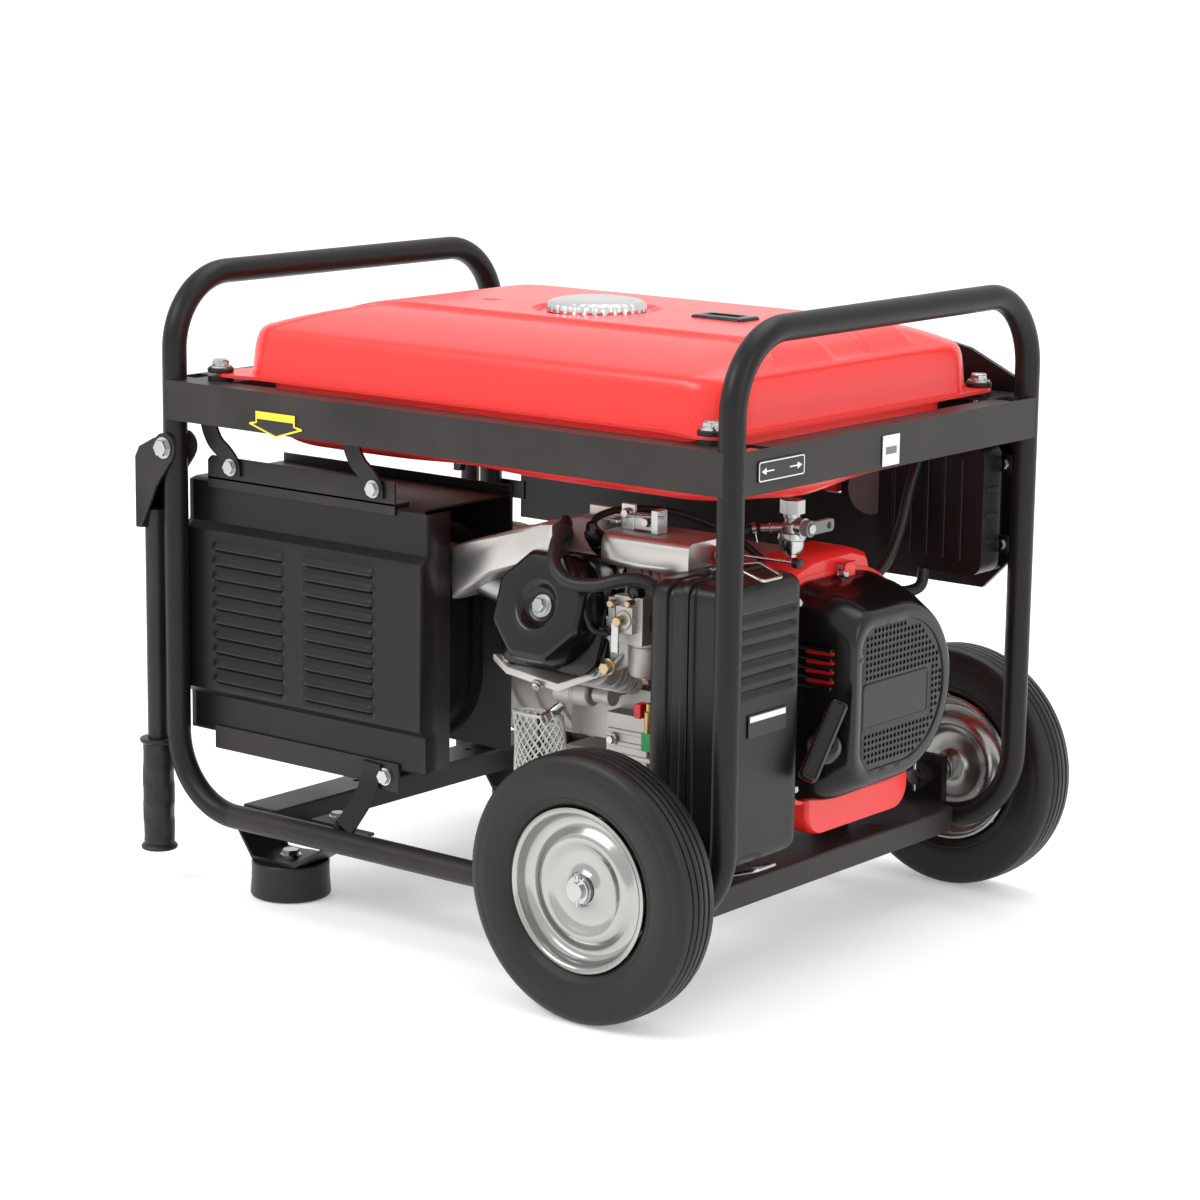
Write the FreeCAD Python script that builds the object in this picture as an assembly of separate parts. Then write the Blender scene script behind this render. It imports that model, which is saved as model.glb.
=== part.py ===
import FreeCAD, Part
import math
import os

V = FreeCAD.Vector
X_AXIS, Y_AXIS, Z_AXIS = V(1, 0, 0), V(0, 1, 0), V(0, 0, 1)
SIDES = (-1, 1)

# Portable open-frame petrol generator, millimetres.
# Working axes while modelling: X = 0 and Y = 0 midway between the four posts, Z = 0 on the floor.
# +X points to the wheel and recoil end, -Y to the muffler side, +Y to the control panel side.

# ---- driving dimensions: frame ----
TUBE_R = 12.5
TUBE_WALL = 2.0
POST_X = 350.0
POST_Y = 247.5
RAIL_Z = 89.0
CARRY_Z = 637.0
TOP_BEND = 75.0
FOOT_BEND = 80.0
BAND_TOP = 533.0
BAND_HEIGHT = 40.5
BAND_FLANGE = 30.0
SHEET = 3.0
MEMBER_TOP = 101.0
MEMBER_HEIGHT = 25.0
LEFT_MEMBER = (-270.0, -222.0)
RIGHT_MEMBER = (170.0, 288.0)
MOUNT_HOLE_R = 4.5
LEFT_HOLE_Y = 90.0
RIGHT_HOLE_Y = (67.0, 122.0)
RIGHT_HOLE_X = 272.0

# ---- driving dimensions: wheels, feet, lift handles ----
WHEEL_R = 127.0
WHEEL_X = 244.6
WHEEL_Y = 308.0
TYRE_WIDTH = 54.0
RIM_R = 76.0
AXLE_R = 8.0
RUNNING_GAP = 0.05
FOOT_R = 42.0
FOOT_HEIGHT = 38.0
FOOT_X = -245.5
FOOT_Y = 191.5
TAB_X = -160.0
TAB_Y = 212.0
PIVOT_Z = 464.0
PIVOT_R = 5.0
HANDLE_X = -381.0
HANDLE_R = 10.5
GRIP_R = 16.7
GRIP_FLANGE_R = 19.0
GRIP_Z = (36.0, 155.0)

# ---- driving dimensions: tank ----
TANK_X = (-298.0, 318.0)
TANK_HALF_Y = 216.0
TANK_CORNER = 45.0
TANK_SEAM_Z = 541.0
TANK_SHOULDER_Z = 590.0
TANK_TOP_Z = 613.0
TANK_BOTTOM_Z = 466.0
TANK_WALL = 1.6
TANK_BOLT = (309.0, 223.0)
CAP_CENTRE = (20.0, -28.0)
CAP_R = 50.0
CAP_HEIGHT = 13.0
GAUGE_CENTRE = (161.0, -5.0)
VALVE = (292.0, -36.0)

# ---- driving dimensions: engine and alternator ----
CRANK_Y = 50.0
CRANK_Z = 265.0
CYLINDER_TILT = 19.0
CYLINDER_X = 100.0
BORE_R = 44.0
STROKE = 66.0
DECK = 172.0
HEAD_END = 230.0
COVER_END = 280.0
SHAFT_R = 17.0
CASE_X = (40.0, 215.0)
CASE_Z = (121.0, 372.0)
FLYWHEEL_R = 92.0
FAN_FACE_X = 345.0
FAN_BACK_X = 276.0
ALTERNATOR_X = (-276.0, 40.0)
ALTERNATOR_R = 100.0
ROTOR_R = 60.0
STACK_LENGTH = 116.0

# ---- driving dimensions: muffler, air filter, control panel ----
MUFFLER_X = (-332.0, -60.0)
MUFFLER_Y = (-222.0, -108.0)
MUFFLER_Z = (192.0, 408.0)
SHIELD_X = (-352.0, -30.0)
SHIELD_Y = -226.0
SHIELD_Z = (168.0, 428.0)
EMBOSS_Z = (213.0, 380.0)
EMBOSS_DEPTH = 8.5
LOUVRE_ROWS = 10
LOUVRE_GROUPS = ((-311.0, -211.0), (-187.0, -89.0))
LOUVRE_Z = (227.0, 364.0)
FILTER_Y = (-225.0, -100.0)
FILTER_Z = (134.0, 402.0)
FILTER_X = (240.0, 290.0, 330.0)
PANEL_X = (-318.0, 327.0)
PANEL_Y = (262.0, 268.0)
PANEL_Z = (329.0, 588.0)
PANEL_BOLT_Z = (380.0, 462.0)
SOCKET_X = (245.0, 175.0)

# The finished part is moved so that its origin is the middle of its footprint on the floor.
ORIGIN_X = (HANDLE_X - GRIP_FLANGE_R + WHEEL_X + WHEEL_R) / 2


# ---- helpers ----
def box(x, y, z):
    """Box between the two values given on each axis."""
    return Part.makeBox(x[1] - x[0], y[1] - y[0], z[1] - z[0], V(x[0], y[0], z[0]))


def rod(start, end, radius):
    """Round bar between two points."""
    line = end - start
    return Part.makeCylinder(radius, line.Length, start, line)


def ring(centre, axis, outer, inner, length):
    """Straight ring or pipe that starts at centre and runs along axis."""
    return Part.makeCylinder(outer, length, centre, axis).cut(Part.makeCylinder(inner, length, centre, axis))


def join(*shapes):
    """One fused solid."""
    return shapes[0].fuse(list(shapes[1:])).removeSplitter()


def group(*shapes):
    """Several separate solids kept together."""
    return Part.makeCompound([solid for shape in shapes for solid in shape.Solids])


def prism(points, depth):
    """Straight-sided solid: a closed outline pushed along the vector depth."""
    return Part.Face(Part.makePolygon(points + [points[0]])).extrude(depth)


def soften(shape, radius, keep):
    """Round the edges for which keep(edge) is true."""
    return shape.makeFillet(radius, [edge for edge in shape.Edges if keep(edge)])


def runs_along(axis):
    """Edge filter: straight edges parallel to an axis."""
    def keep(edge):
        if not isinstance(edge.Curve, Part.Line):
            return False
        return abs(edge.tangentAt(edge.FirstParameter).dot(axis)) > 0.999
    return keep


def bent_path(points, radii):
    """Straight runs through the points, joined by tangent arcs of the radii given for the inner points."""
    edges = []
    last = points[0]
    for before, corner, after, radius in zip(points, points[1:], points[2:], radii):
        arrive = (corner - before).normalize()
        leave = (after - corner).normalize()
        turn = arrive.getAngle(leave)
        setback = radius * math.tan(turn / 2)
        first = corner - arrive * setback
        final = corner + leave * setback
        centre = corner + (leave - arrive).normalize() * (radius / math.cos(turn / 2))
        middle = centre + (corner - centre).normalize() * radius
        edges.append(Part.LineSegment(last, first).toShape())
        edges.append(Part.Arc(first, middle, final).toShape())
        last = final
    edges.append(Part.LineSegment(last, points[-1]).toShape())
    return Part.Wire([edge for edge in edges if edge.Length > 0.01])


def pipe(path, radius):
    """Round section swept along a path of lines and arcs."""
    start = path.Edges[0].valueAt(path.Edges[0].FirstParameter)
    heading = path.Edges[0].tangentAt(path.Edges[0].FirstParameter)
    section = Part.Wire([Part.makeCircle(radius, start, heading)])
    return path.makePipeShell([section], True, False)


def tube(points, radii, radius, wall):
    """Hollow bent tube."""
    path = bent_path(points, radii)
    return pipe(path, radius).cut(pipe(path, radius - wall))


def hose(points, radius):
    """Flexible hose with arcs as large as its runs allow."""
    radii = []
    for before, corner, after in zip(points, points[1:], points[2:]):
        turn = (corner - before).getAngle(after - corner)
        shorter = min((corner - before).Length, (after - corner).Length)
        radii.append(0.45 * shorter / math.tan(turn / 2))
    return pipe(bent_path(points, radii), radius)


def slab_outline(x, y, corner, z):
    """Closed rounded rectangle at height z."""
    solid = box(x, y, (z, z + 1))
    solid = soften(solid, corner, runs_along(Z_AXIS))
    bottom = min(solid.Faces, key=lambda face: face.CenterOfMass.z)
    return bottom.OuterWire


def hex_bolt(head_base, axis, shank_r, length):
    """Flanged hexagon bolt: head on the axis side of head_base, shank on the other."""
    turn = FreeCAD.Rotation(Z_AXIS, axis)
    width = 1.75 * shank_r
    corners = [V(width * math.cos(math.radians(60 * i)), width * math.sin(math.radians(60 * i)), 0) for i in range(6)]
    head = prism(corners, V(0, 0, 1.3 * shank_r))
    flange = Part.makeCylinder(2.2 * shank_r, 1.6)
    shank = Part.makeCylinder(shank_r, length, V(0, 0, -length))
    bolt = join(head, flange, shank)
    bolt.Placement = FreeCAD.Placement(head_base, turn)
    return bolt


def mirror_y(shape):
    return shape.mirror(V(0, 0, 0), Y_AXIS)


def engine_point(distance, across=0.0, x=CYLINDER_X):
    """Point on the tilted cylinder axis, measured from the crankshaft."""
    tilt = math.radians(CYLINDER_TILT)
    y = CRANK_Y - distance * math.cos(tilt) + across * math.sin(tilt)
    z = CRANK_Z + distance * math.sin(tilt) + across * math.cos(tilt)
    return V(x, y, z)


CYLINDER_AXIS = (engine_point(1) - engine_point(0)).normalize()
PLUG_TIP = V(CYLINDER_X + 22, -126, 390)
PLUG_TOP = V(CYLINDER_X + 22, -148, 410)


# ---- frame ----
def end_hoop(side):
    """One bent tube: near foot bend, near post, carry bar, far post and far foot bend."""
    x = side * POST_X
    inner = x - side * FOOT_BEND
    points = [V(inner, -POST_Y, RAIL_Z), V(x, -POST_Y, RAIL_Z), V(x, -POST_Y, CARRY_Z),
              V(x, POST_Y, CARRY_Z), V(x, POST_Y, RAIL_Z), V(inner, POST_Y, RAIL_Z)]
    bends = [FOOT_BEND - 0.02, TOP_BEND, TOP_BEND, FOOT_BEND - 0.02]
    return tube(points, bends, TUBE_R, TUBE_WALL)


def bottom_rails():
    """Two straight tubes that close the hoops along the floor."""
    start = -POST_X + FOOT_BEND
    length = 2 * (POST_X - FOOT_BEND)
    return group(*[ring(V(start, side * POST_Y, RAIL_Z), X_AXIS, TUBE_R, TUBE_R - TUBE_WALL, length)
                   for side in SIDES])


def tank_support_bars():
    """Four angle bars that band the posts together, with corner tabs for the tank bolts."""
    outer_x, outer_y = POST_X + TUBE_R, POST_Y + TUBE_R
    z = (BAND_TOP - BAND_HEIGHT, BAND_TOP)
    posts = [rod(V(sx * POST_X, sy * POST_Y, 480), V(sx * POST_X, sy * POST_Y, 545), TUBE_R)
             for sx in SIDES for sy in SIDES]
    tab = (TANK_BOLT[0] - 22, POST_X - TUBE_R)
    long_leg = box((-POST_X, POST_X), (-outer_y, -outer_y + SHEET), z)
    long_top = box((-POST_X, POST_X), (-outer_y, -outer_y + BAND_FLANGE), (BAND_TOP - SHEET, BAND_TOP))
    long_bar = join(long_leg, long_top)
    for side in SIDES:
        x = sorted((side * tab[0], side * tab[1]))
        long_bar = long_bar.fuse(box(x, (-outer_y + 20, -TANK_BOLT[1] + 20), (BAND_TOP - SHEET, BAND_TOP)))
        hole = rod(V(side * TANK_BOLT[0], -TANK_BOLT[1], 500), V(side * TANK_BOLT[0], -TANK_BOLT[1], 560), 8.2)
        long_bar = long_bar.cut(hole)
    long_bar = long_bar.cut(posts).removeSplitter()
    end_leg = box((outer_x - SHEET, outer_x), (-POST_Y, POST_Y), z)
    reach = POST_Y - 17.6
    end_top = box((outer_x - BAND_FLANGE + 4, outer_x), (-reach, reach), (BAND_TOP - SHEET, BAND_TOP))
    tab_clear = [box((-outer_x, outer_x), sorted((s * (TANK_BOLT[1] - 20.2), s * outer_y)), (500, 540))
                 for s in SIDES]
    end_bar = join(end_leg, end_top.cut(tab_clear)).cut(posts)
    return group(long_bar, mirror_y(long_bar), end_bar, end_bar.mirror(V(0, 0, 0), X_AXIS))


def crossmember(x, holes, hole_r):
    """Folded channel, open downwards, welded between the two bottom rails."""
    reach = POST_Y - TUBE_R
    z = (MEMBER_TOP - MEMBER_HEIGHT, MEMBER_TOP)
    member = box(x, (-reach, reach), z)
    member = soften(member, 2.5, lambda e: runs_along(Y_AXIS)(e) and e.CenterOfMass.z > MEMBER_TOP - 1)
    inside = box((x[0] + SHEET, x[1] - SHEET), (-reach, reach), (z[0], z[1] - SHEET))
    drills = [rod(V(hx, hy, 60), V(hx, hy, 120), hole_r) for hx, hy in holes]
    return member.cut([inside] + drills)


def left_crossmember():
    middle = sum(LEFT_MEMBER) / 2
    return crossmember(LEFT_MEMBER, [(middle, -LEFT_HOLE_Y), (middle, LEFT_HOLE_Y)], MOUNT_HOLE_R)


def right_crossmember():
    return crossmember(RIGHT_MEMBER, [(RIGHT_HOLE_X, y) for y in RIGHT_HOLE_Y], MOUNT_HOLE_R)


def foot_bracket():
    """Folded plate hung under the left crossmember, with a flat bottom for the foot."""
    top_z = MEMBER_TOP - MEMBER_HEIGHT
    left, right, half_bottom, depth = -58.0, 92.0, 30.0, 27.0
    outer = [V(left, 0, top_z), V(-half_bottom, 0, FOOT_HEIGHT), V(half_bottom, 0, FOOT_HEIGHT), V(right, 0, top_z)]
    inner = [V(right - 2 * SHEET, 0, top_z), V(half_bottom - SHEET / 2, 0, FOOT_HEIGHT + SHEET),
             V(SHEET / 2 - half_bottom, 0, FOOT_HEIGHT + SHEET), V(left + SHEET, 0, top_z)]
    plate = prism(outer + inner, V(0, 2 * depth, 0))
    plate.translate(V(FOOT_X, -FOOT_Y - depth, 0))
    roof = box((FOOT_X + left, FOOT_X + right), (-FOOT_Y - depth, -FOOT_Y + depth), (top_z - SHEET, top_z))
    bolt_hole = rod(V(FOOT_X, -FOOT_Y, FOOT_HEIGHT - 1), V(FOOT_X, -FOOT_Y, FOOT_HEIGHT + 5), 5.2)
    tab = box((TAB_X - 15, TAB_X + 15), (TUBE_R - POST_Y, 18 - TAB_Y), (MEMBER_TOP - SHEET, MEMBER_TOP))
    tab_post = box((TAB_X - 15, TAB_X - 12), (TUBE_R - POST_Y, 18 - TAB_Y), (top_z - SHEET, MEMBER_TOP))
    tab_hole = rod(V(TAB_X, -TAB_Y, 60), V(TAB_X, -TAB_Y, 120), 4.1)
    return join(plate, roof, tab, tab_post).cut([bolt_hole, tab_hole])


def axle_bracket():
    """Plate under and inside the rail that carries the axle, with a bored boss."""
    inner_y = -POST_Y + TUBE_R
    axle_z = WHEEL_R
    plate = box((WHEEL_X - 24, WHEEL_X + 24), (-POST_Y - 5, -POST_Y + 5), (RAIL_Z + 8, axle_z + 22))
    boss = rod(V(WHEEL_X, -POST_Y - 20, axle_z), V(WHEEL_X, inner_y + 4, axle_z), 14)
    rail = rod(V(0, -POST_Y, RAIL_Z), V(400, -POST_Y, RAIL_Z), TUBE_R)
    bore = rod(V(WHEEL_X, -POST_Y - 30, axle_z), V(WHEEL_X, inner_y + 10, axle_z), AXLE_R)
    return join(plate, boss).cut([rail, bore])


def welded_brackets():
    near = group(foot_bracket(), axle_bracket())
    return group(near, mirror_y(near))


def rubber_feet():
    """Two round rubber buffers, slightly waisted, bolted under their brackets."""
    feet = []
    for side in SIDES:
        foot = Part.makeCone(FOOT_R, FOOT_R - 1.5, FOOT_HEIGHT, V(FOOT_X, side * FOOT_Y, 0))
        recess = Part.makeCylinder(9, 12, V(FOOT_X, side * FOOT_Y, 0))
        hole = Part.makeCylinder(5, FOOT_HEIGHT, V(FOOT_X, side * FOOT_Y, 0))
        feet.append(foot.cut([recess, hole]))
    return group(*feet)


def wheel_axles():
    """Two stub axles with washers and cotter pins."""
    axles = []
    for side in SIDES:
        start = V(WHEEL_X, side * (POST_Y - 22), WHEEL_R)
        end = V(WHEEL_X, side * (WHEEL_Y + 24), WHEEL_R)
        pin = rod(start, end, AXLE_R)
        collar = rod(V(WHEEL_X, side * (POST_Y + 20.3), WHEEL_R), V(WHEEL_X, side * (POST_Y + 24), WHEEL_R), 15)
        cotters = []
        for y in (POST_Y - 19, WHEEL_Y + 20):
            cotters.append(rod(V(WHEEL_X, side * y, WHEEL_R - 15), V(WHEEL_X, side * y, WHEEL_R + 15), 1.6))
        axles.append(join(pin, collar, *cotters))
    return group(*axles)


# ---- wheels ----
def wheel_profile(points):
    """Solid of revolution about the wheel's axle, from (offset along the axle, radius) points."""
    outline = [V(WHEEL_X, WHEEL_Y + offset, WHEEL_R + radius) for offset, radius in points]
    face = Part.Face(Part.makePolygon(outline + [outline[0]]))
    return face.revolve(V(WHEEL_X, WHEEL_Y, WHEEL_R), Y_AXIS, 360)


def tyre(side):
    """Ribbed solid-rubber tyre on the far wheel, mirrored for the near one."""
    half = TYRE_WIDTH / 2
    groove_count, groove_width, groove_depth = 4, 1.8, 2.2
    tread = [(-half + 8, WHEEL_R - 1.2)]
    pitch = 2 * (half - 8) / (groove_count + 1)
    for i in range(1, groove_count + 1):
        centre = -half + 8 + i * pitch
        crown = WHEEL_R - 1.2 * (centre / (half - 8)) ** 2
        tread += [(centre - groove_width / 2, crown), (centre - groove_width / 2, crown - groove_depth),
                  (centre + groove_width / 2, crown - groove_depth), (centre + groove_width / 2, crown)]
    tread.append((half - 8, WHEEL_R - 1.2))
    wall = [(half - 3, WHEEL_R - 6), (half, WHEEL_R - 20), (half - 2, RIM_R + 8), (half - 8, RIM_R + 1),
            (10 - half, RIM_R + 1), (2 - half, RIM_R + 8), (-half, WHEEL_R - 20), (3 - half, WHEEL_R - 6)]
    shape = wheel_profile(tread + wall)
    return shape if side > 0 else mirror_y(shape)


def rim(side):
    """Pressed steel rim: two dished discs on a hub tube."""
    hub_bore = AXLE_R + RUNNING_GAP
    outer_face = [(12, hub_bore), (18, hub_bore), (18, 14), (9, 17), (7, 40), (14, 47), (14, 51), (8, 58),
                  (9, RIM_R - 6), (20, RIM_R), (19, RIM_R + 1), (-19, RIM_R + 1), (-20, RIM_R),
                  (-9, RIM_R - 6), (-8, 58), (-14, 51), (-14, 47), (-7, 40), (-9, 17), (-30, 14), (-30, hub_bore),
                  (-12, hub_bore)]
    solid = wheel_profile(outer_face)
    cavity = wheel_profile([(-4, 20), (4, 20), (4, RIM_R - 3), (-4, RIM_R - 3)])
    shape = solid.cut(cavity)
    return shape if side > 0 else mirror_y(shape)


# ---- lift handles ----
def handle_cheek(y, relieved):
    """One ear of the handle's channel, rounded about the pivot."""
    px, pz = -POST_X, PIVOT_Z
    if relieved:
        outline = [(-42, -13), (-39, -13), (-35, -24), (-20, -17), (-8, -14), (12, -10), (-12, -40), (-34, -86), (-42, -86)]
    else:
        outline = [(-42, -13), (-36, -2), (-14, 9), (12, -10), (-12, -40), (-34, -86), (-42, -86)]
    points = [V(px + dx, y, pz + dz) for dx, dz in outline]
    plate = prism(points, V(0, SHEET, 0))
    ear = rod(V(px, y, pz), V(px, y + SHEET, pz), 15)
    return join(plate, ear)


def lift_handle(side):
    """Folding lift handle: a pressed channel on the post with a tube welded in it."""
    near_cheek = handle_cheek(-POST_Y - TUBE_R - 1 - SHEET, False)
    far_cheek = handle_cheek(-POST_Y + TUBE_R + 1, True)
    web_y = (-POST_Y - TUBE_R - 1 - SHEET, -POST_Y + TUBE_R + 1 + SHEET)
    web = box((-POST_X - 42, -POST_X - 39), web_y, (PIVOT_Z - 86, PIVOT_Z - 13.5))
    stem = ring(V(HANDLE_X, -POST_Y, GRIP_Z[0] + 4), Z_AXIS, HANDLE_R, HANDLE_R - TUBE_WALL, PIVOT_Z - 72 - GRIP_Z[0])
    bore = rod(V(-POST_X, -POST_Y - 30, PIVOT_Z), V(-POST_X, -POST_Y + 30, PIVOT_Z), PIVOT_R + RUNNING_GAP)
    web_end = box((-POST_X - 39, HANDLE_X), (-POST_Y - TUBE_R - 1, -POST_Y + TUBE_R + 1), (PIVOT_Z - 86, PIVOT_Z - 74))
    shape = join(near_cheek, far_cheek, web, stem, web_end.cut(rod(V(HANDLE_X, -POST_Y, 0), V(HANDLE_X, -POST_Y, 500), 9)))
    shape = shape.cut(bore)
    return shape if side < 0 else mirror_y(shape)


def handle_grip(side):
    """Rubber grip with a flange at both ends, pushed over the handle's tube."""
    centre = V(HANDLE_X, side * POST_Y, GRIP_Z[0])
    height = GRIP_Z[1] - GRIP_Z[0]
    body = Part.makeCylinder(GRIP_R, height, centre)
    flanges = [Part.makeCylinder(GRIP_FLANGE_R, 4, centre + V(0, 0, lift)) for lift in (0, height - 4)]
    socket = Part.makeCylinder(HANDLE_R, height, centre + V(0, 0, 4))
    return join(body, *flanges).cut(socket)


# ---- fuel tank ----
def tank_section(inset_x, inset_y, corner, z, inner=0.0):
    x = (TANK_X[0] + inset_x[0] + inner, TANK_X[1] - inset_x[1] - inner)
    half = TANK_HALF_Y - inset_y - inner
    return slab_outline(x, (-half, half), corner - inner / 2, z)


def upper_tank_loft(inner):
    """Body of the upper pressing: steep sides, a wide sloping shoulder and a flat top."""
    sections = [tank_section((0, 0), 0, TANK_CORNER, TANK_SEAM_Z - (1 if inner else 0), inner),
                tank_section((6, 5), 4, TANK_CORNER, TANK_SHOULDER_Z - 8 - inner, inner),
                tank_section((16, 13), 13, TANK_CORNER, TANK_SHOULDER_Z - inner, inner),
                tank_section((104, 50), 92, 34.0, TANK_TOP_Z - 2 - inner, inner),
                tank_section((112, 58), 100, 30.0, TANK_TOP_Z - inner, inner)]
    return Part.makeLoft(sections, True, True)


def lower_tank_loft(inner):
    """Body of the lower pressing: a shallow pan with sloping sides."""
    sections = [tank_section((16, 20), 18, TANK_CORNER, TANK_SEAM_Z - 3 + (1 if inner else 0), inner),
                tank_section((20, 24), 22, TANK_CORNER, TANK_BOTTOM_Z + 22 + inner, inner),
                tank_section((48, 40), 50, TANK_CORNER, TANK_BOTTOM_Z + inner, inner)]
    return Part.makeLoft(sections, True, True)


def seam_flange(z):
    """Flat rim with four bolt ears."""
    rim_plate = soften(box((TANK_X[0] - 9, TANK_X[1] + 9), (-TANK_HALF_Y - 9, TANK_HALF_Y + 9), (z, z + TANK_WALL)),
                       TANK_CORNER + 6, runs_along(Z_AXIS))
    for sx in SIDES:
        for sy in SIDES:
            bolt = V(sx * TANK_BOLT[0], sy * TANK_BOLT[1], z)
            ear = Part.makeCylinder(17, TANK_WALL, bolt)
            side_step = V(11 * sx, -11 * sy, 0)
            inward = V(-45 * sx, -45 * sy, 0)
            neck = prism([bolt + side_step, bolt - side_step, bolt - side_step + inward, bolt + side_step + inward],
                         V(0, 0, TANK_WALL))
            rim_plate = rim_plate.fuse([ear, neck])
            rim_plate = rim_plate.cut(Part.makeCylinder(6.2, 4, bolt - V(0, 0, 1)))
    return rim_plate.removeSplitter()


def tank_upper_shell():
    shell = join(upper_tank_loft(0), seam_flange(TANK_SEAM_Z - TANK_WALL))
    filler = Part.makeCylinder(24, 60, V(CAP_CENTRE[0], CAP_CENTRE[1], TANK_TOP_Z - 30))
    neck = ring(V(CAP_CENTRE[0], CAP_CENTRE[1], TANK_TOP_Z - TANK_WALL - 10), Z_AXIS, 26, 24, 13 + TANK_WALL)
    gauge = box((GAUGE_CENTRE[0] - 20, GAUGE_CENTRE[0] + 20), (GAUGE_CENTRE[1] - 10, GAUGE_CENTRE[1] + 10), (600, 630))
    return join(shell.cut([upper_tank_loft(TANK_WALL), filler, gauge]), neck)


def tank_lower_shell():
    shell = join(lower_tank_loft(0), seam_flange(TANK_SEAM_Z - 2 * TANK_WALL))
    outlet = rod(V(VALVE[0] - 24, VALVE[1], 440), V(VALVE[0] - 24, VALVE[1], 500), 8)
    sump = Part.makeCone(16, 34, 12, V(VALVE[0] - 24, VALVE[1], TANK_BOTTOM_Z - 10))
    top_clear = box((-400, 400), (-300, 300), (TANK_SEAM_Z - TANK_WALL, 600))
    return join(shell.cut([top_clear]), sump).cut([lower_tank_loft(TANK_WALL), outlet])


def rubber_mounts():
    """Rubber bushings under the tank ears and rubber buffers under the engine and the alternator."""
    mounts = []
    for sx in SIDES:
        for sy in SIDES:
            mounts.append(ring(V(sx * TANK_BOLT[0], sy * TANK_BOLT[1], BAND_TOP), Z_AXIS, 13, 6,
                               TANK_SEAM_Z - 2 * TANK_WALL - BAND_TOP))
            mounts.append(ring(V(sx * TANK_BOLT[0], sy * TANK_BOLT[1], TANK_SEAM_Z), Z_AXIS, 12, 6, 5))
    for x, ys in ((sum(LEFT_MEMBER) / 2, (-20, 120)), (200, (-40, 140))):
        for y in ys:
            mounts.append(Part.makeCylinder(18, CASE_Z[0] - MEMBER_TOP, V(x, y, MEMBER_TOP)))
    return group(*mounts)


def fuel_gauge_housing():
    """Moulded gauge with a long window, set in the top of the tank."""
    x = (GAUGE_CENTRE[0] - 31, GAUGE_CENTRE[0] + 31)
    y = (GAUGE_CENTRE[1] - 18, GAUGE_CENTRE[1] + 18)
    body = soften(box(x, y, (TANK_TOP_Z, TANK_TOP_Z + 6)), 6, runs_along(Z_AXIS))
    window = box((x[0] + 12, x[1] - 12), (y[0] + 9, y[1] - 9), (TANK_TOP_Z + 3, TANK_TOP_Z + 7))
    stem = box((x[0] + 11.5, x[1] - 11.5), (y[0] + 8.5, y[1] - 8.5), (TANK_TOP_Z - 14, TANK_TOP_Z + 1))
    return join(body, stem).cut(window)


def fuel_cap_insert():
    """Inner cup of the cap with its bayonet tabs and gasket, held in the filler neck."""
    centre = V(CAP_CENTRE[0], CAP_CENTRE[1], TANK_TOP_Z - 14)
    cup = Part.makeCylinder(20, 17.5, centre)
    gasket = Part.makeCylinder(27, 1.2, centre + V(0, 0, 17.3))
    pin = Part.makeCylinder(4, 6, centre + V(0, 0, 18))
    return join(cup, gasket, pin)


def fuel_cap():
    """Scalloped metal cap that turns on its insert."""
    base = TANK_TOP_Z + 0.8
    centre = V(CAP_CENTRE[0], CAP_CENTRE[1], base)
    skirt = Part.makeCone(CAP_R, CAP_R - 2, CAP_HEIGHT - 5, centre)
    crown = Part.makeCone(CAP_R - 2, CAP_R - 12, 5, centre + V(0, 0, CAP_HEIGHT - 5))
    cap = join(skirt, crown)
    hollow = Part.makeCylinder(CAP_R - 8, 4.2, centre)
    pin_bore = Part.makeCylinder(4 + RUNNING_GAP, 9.6, centre)
    flutes = []
    for i in range(16):
        angle = math.radians(i * 360 / 16)
        flutes.append(Part.makeCylinder(5, 30, centre + V(53 * math.cos(angle), 53 * math.sin(angle), -5)))
    return cap.cut([hollow, pin_bore] + flutes)


def fuel_valve_body():
    """Petcock: hexagon union nut, body with a hose tail and a sediment bowl."""
    x, y = VALVE[0] - 24, VALVE[1]
    top = TANK_BOTTOM_Z - 10
    nut = prism([V(x + 13 * math.cos(math.radians(60 * i)), y + 13 * math.sin(math.radians(60 * i)), top - 16)
                 for i in range(6)], V(0, 0, 16))
    body = rod(V(x, y, top - 16), V(x, y, top - 46), 9)
    bowl = rod(V(x, y, top - 36), V(x, y, top - 54), 13)
    drain = rod(V(x, y, top - 54), V(x, y, top - 58), 5)
    side_boss = rod(V(x, y, top - 28), V(x + 15, y, top - 28), 7)
    tail = rod(V(x, y, top - 30), V(x - 24, y - 12, top - 30), 3.5)
    return join(nut, body, bowl, drain, side_boss, tail)


def fuel_valve_lever():
    """Quarter-turn lever on the petcock's side boss."""
    x, y, z = VALVE[0] - 24 + 15.3, VALVE[1], TANK_BOTTOM_Z - 38
    disc = rod(V(x, y, z), V(x + 7, y, z), 8)
    blade = soften(box((x + 2, x + 7), (y, y + 38), (z - 6, z + 6)), 4, runs_along(X_AXIS))
    eye = rod(V(x, y + 30, z), V(x + 10, y + 30, z), 3.5)
    return join(disc, blade).cut(eye)


# ---- muffler and exhaust ----
def oval(x, y, z, length):
    """Upright race-track solid along X."""
    radius = (y[1] - y[0]) / 2
    mid_y = (y[0] + y[1]) / 2
    low, high = z[0] + radius, z[1] - radius
    return join(box((x, x + length), y, (low, high)),
                Part.makeCylinder(radius, length, V(x, mid_y, low), X_AXIS),
                Part.makeCylinder(radius, length, V(x, mid_y, high), X_AXIS))


def inset(pair, amount):
    return (pair[0] + amount, pair[1] - amount)


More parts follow.
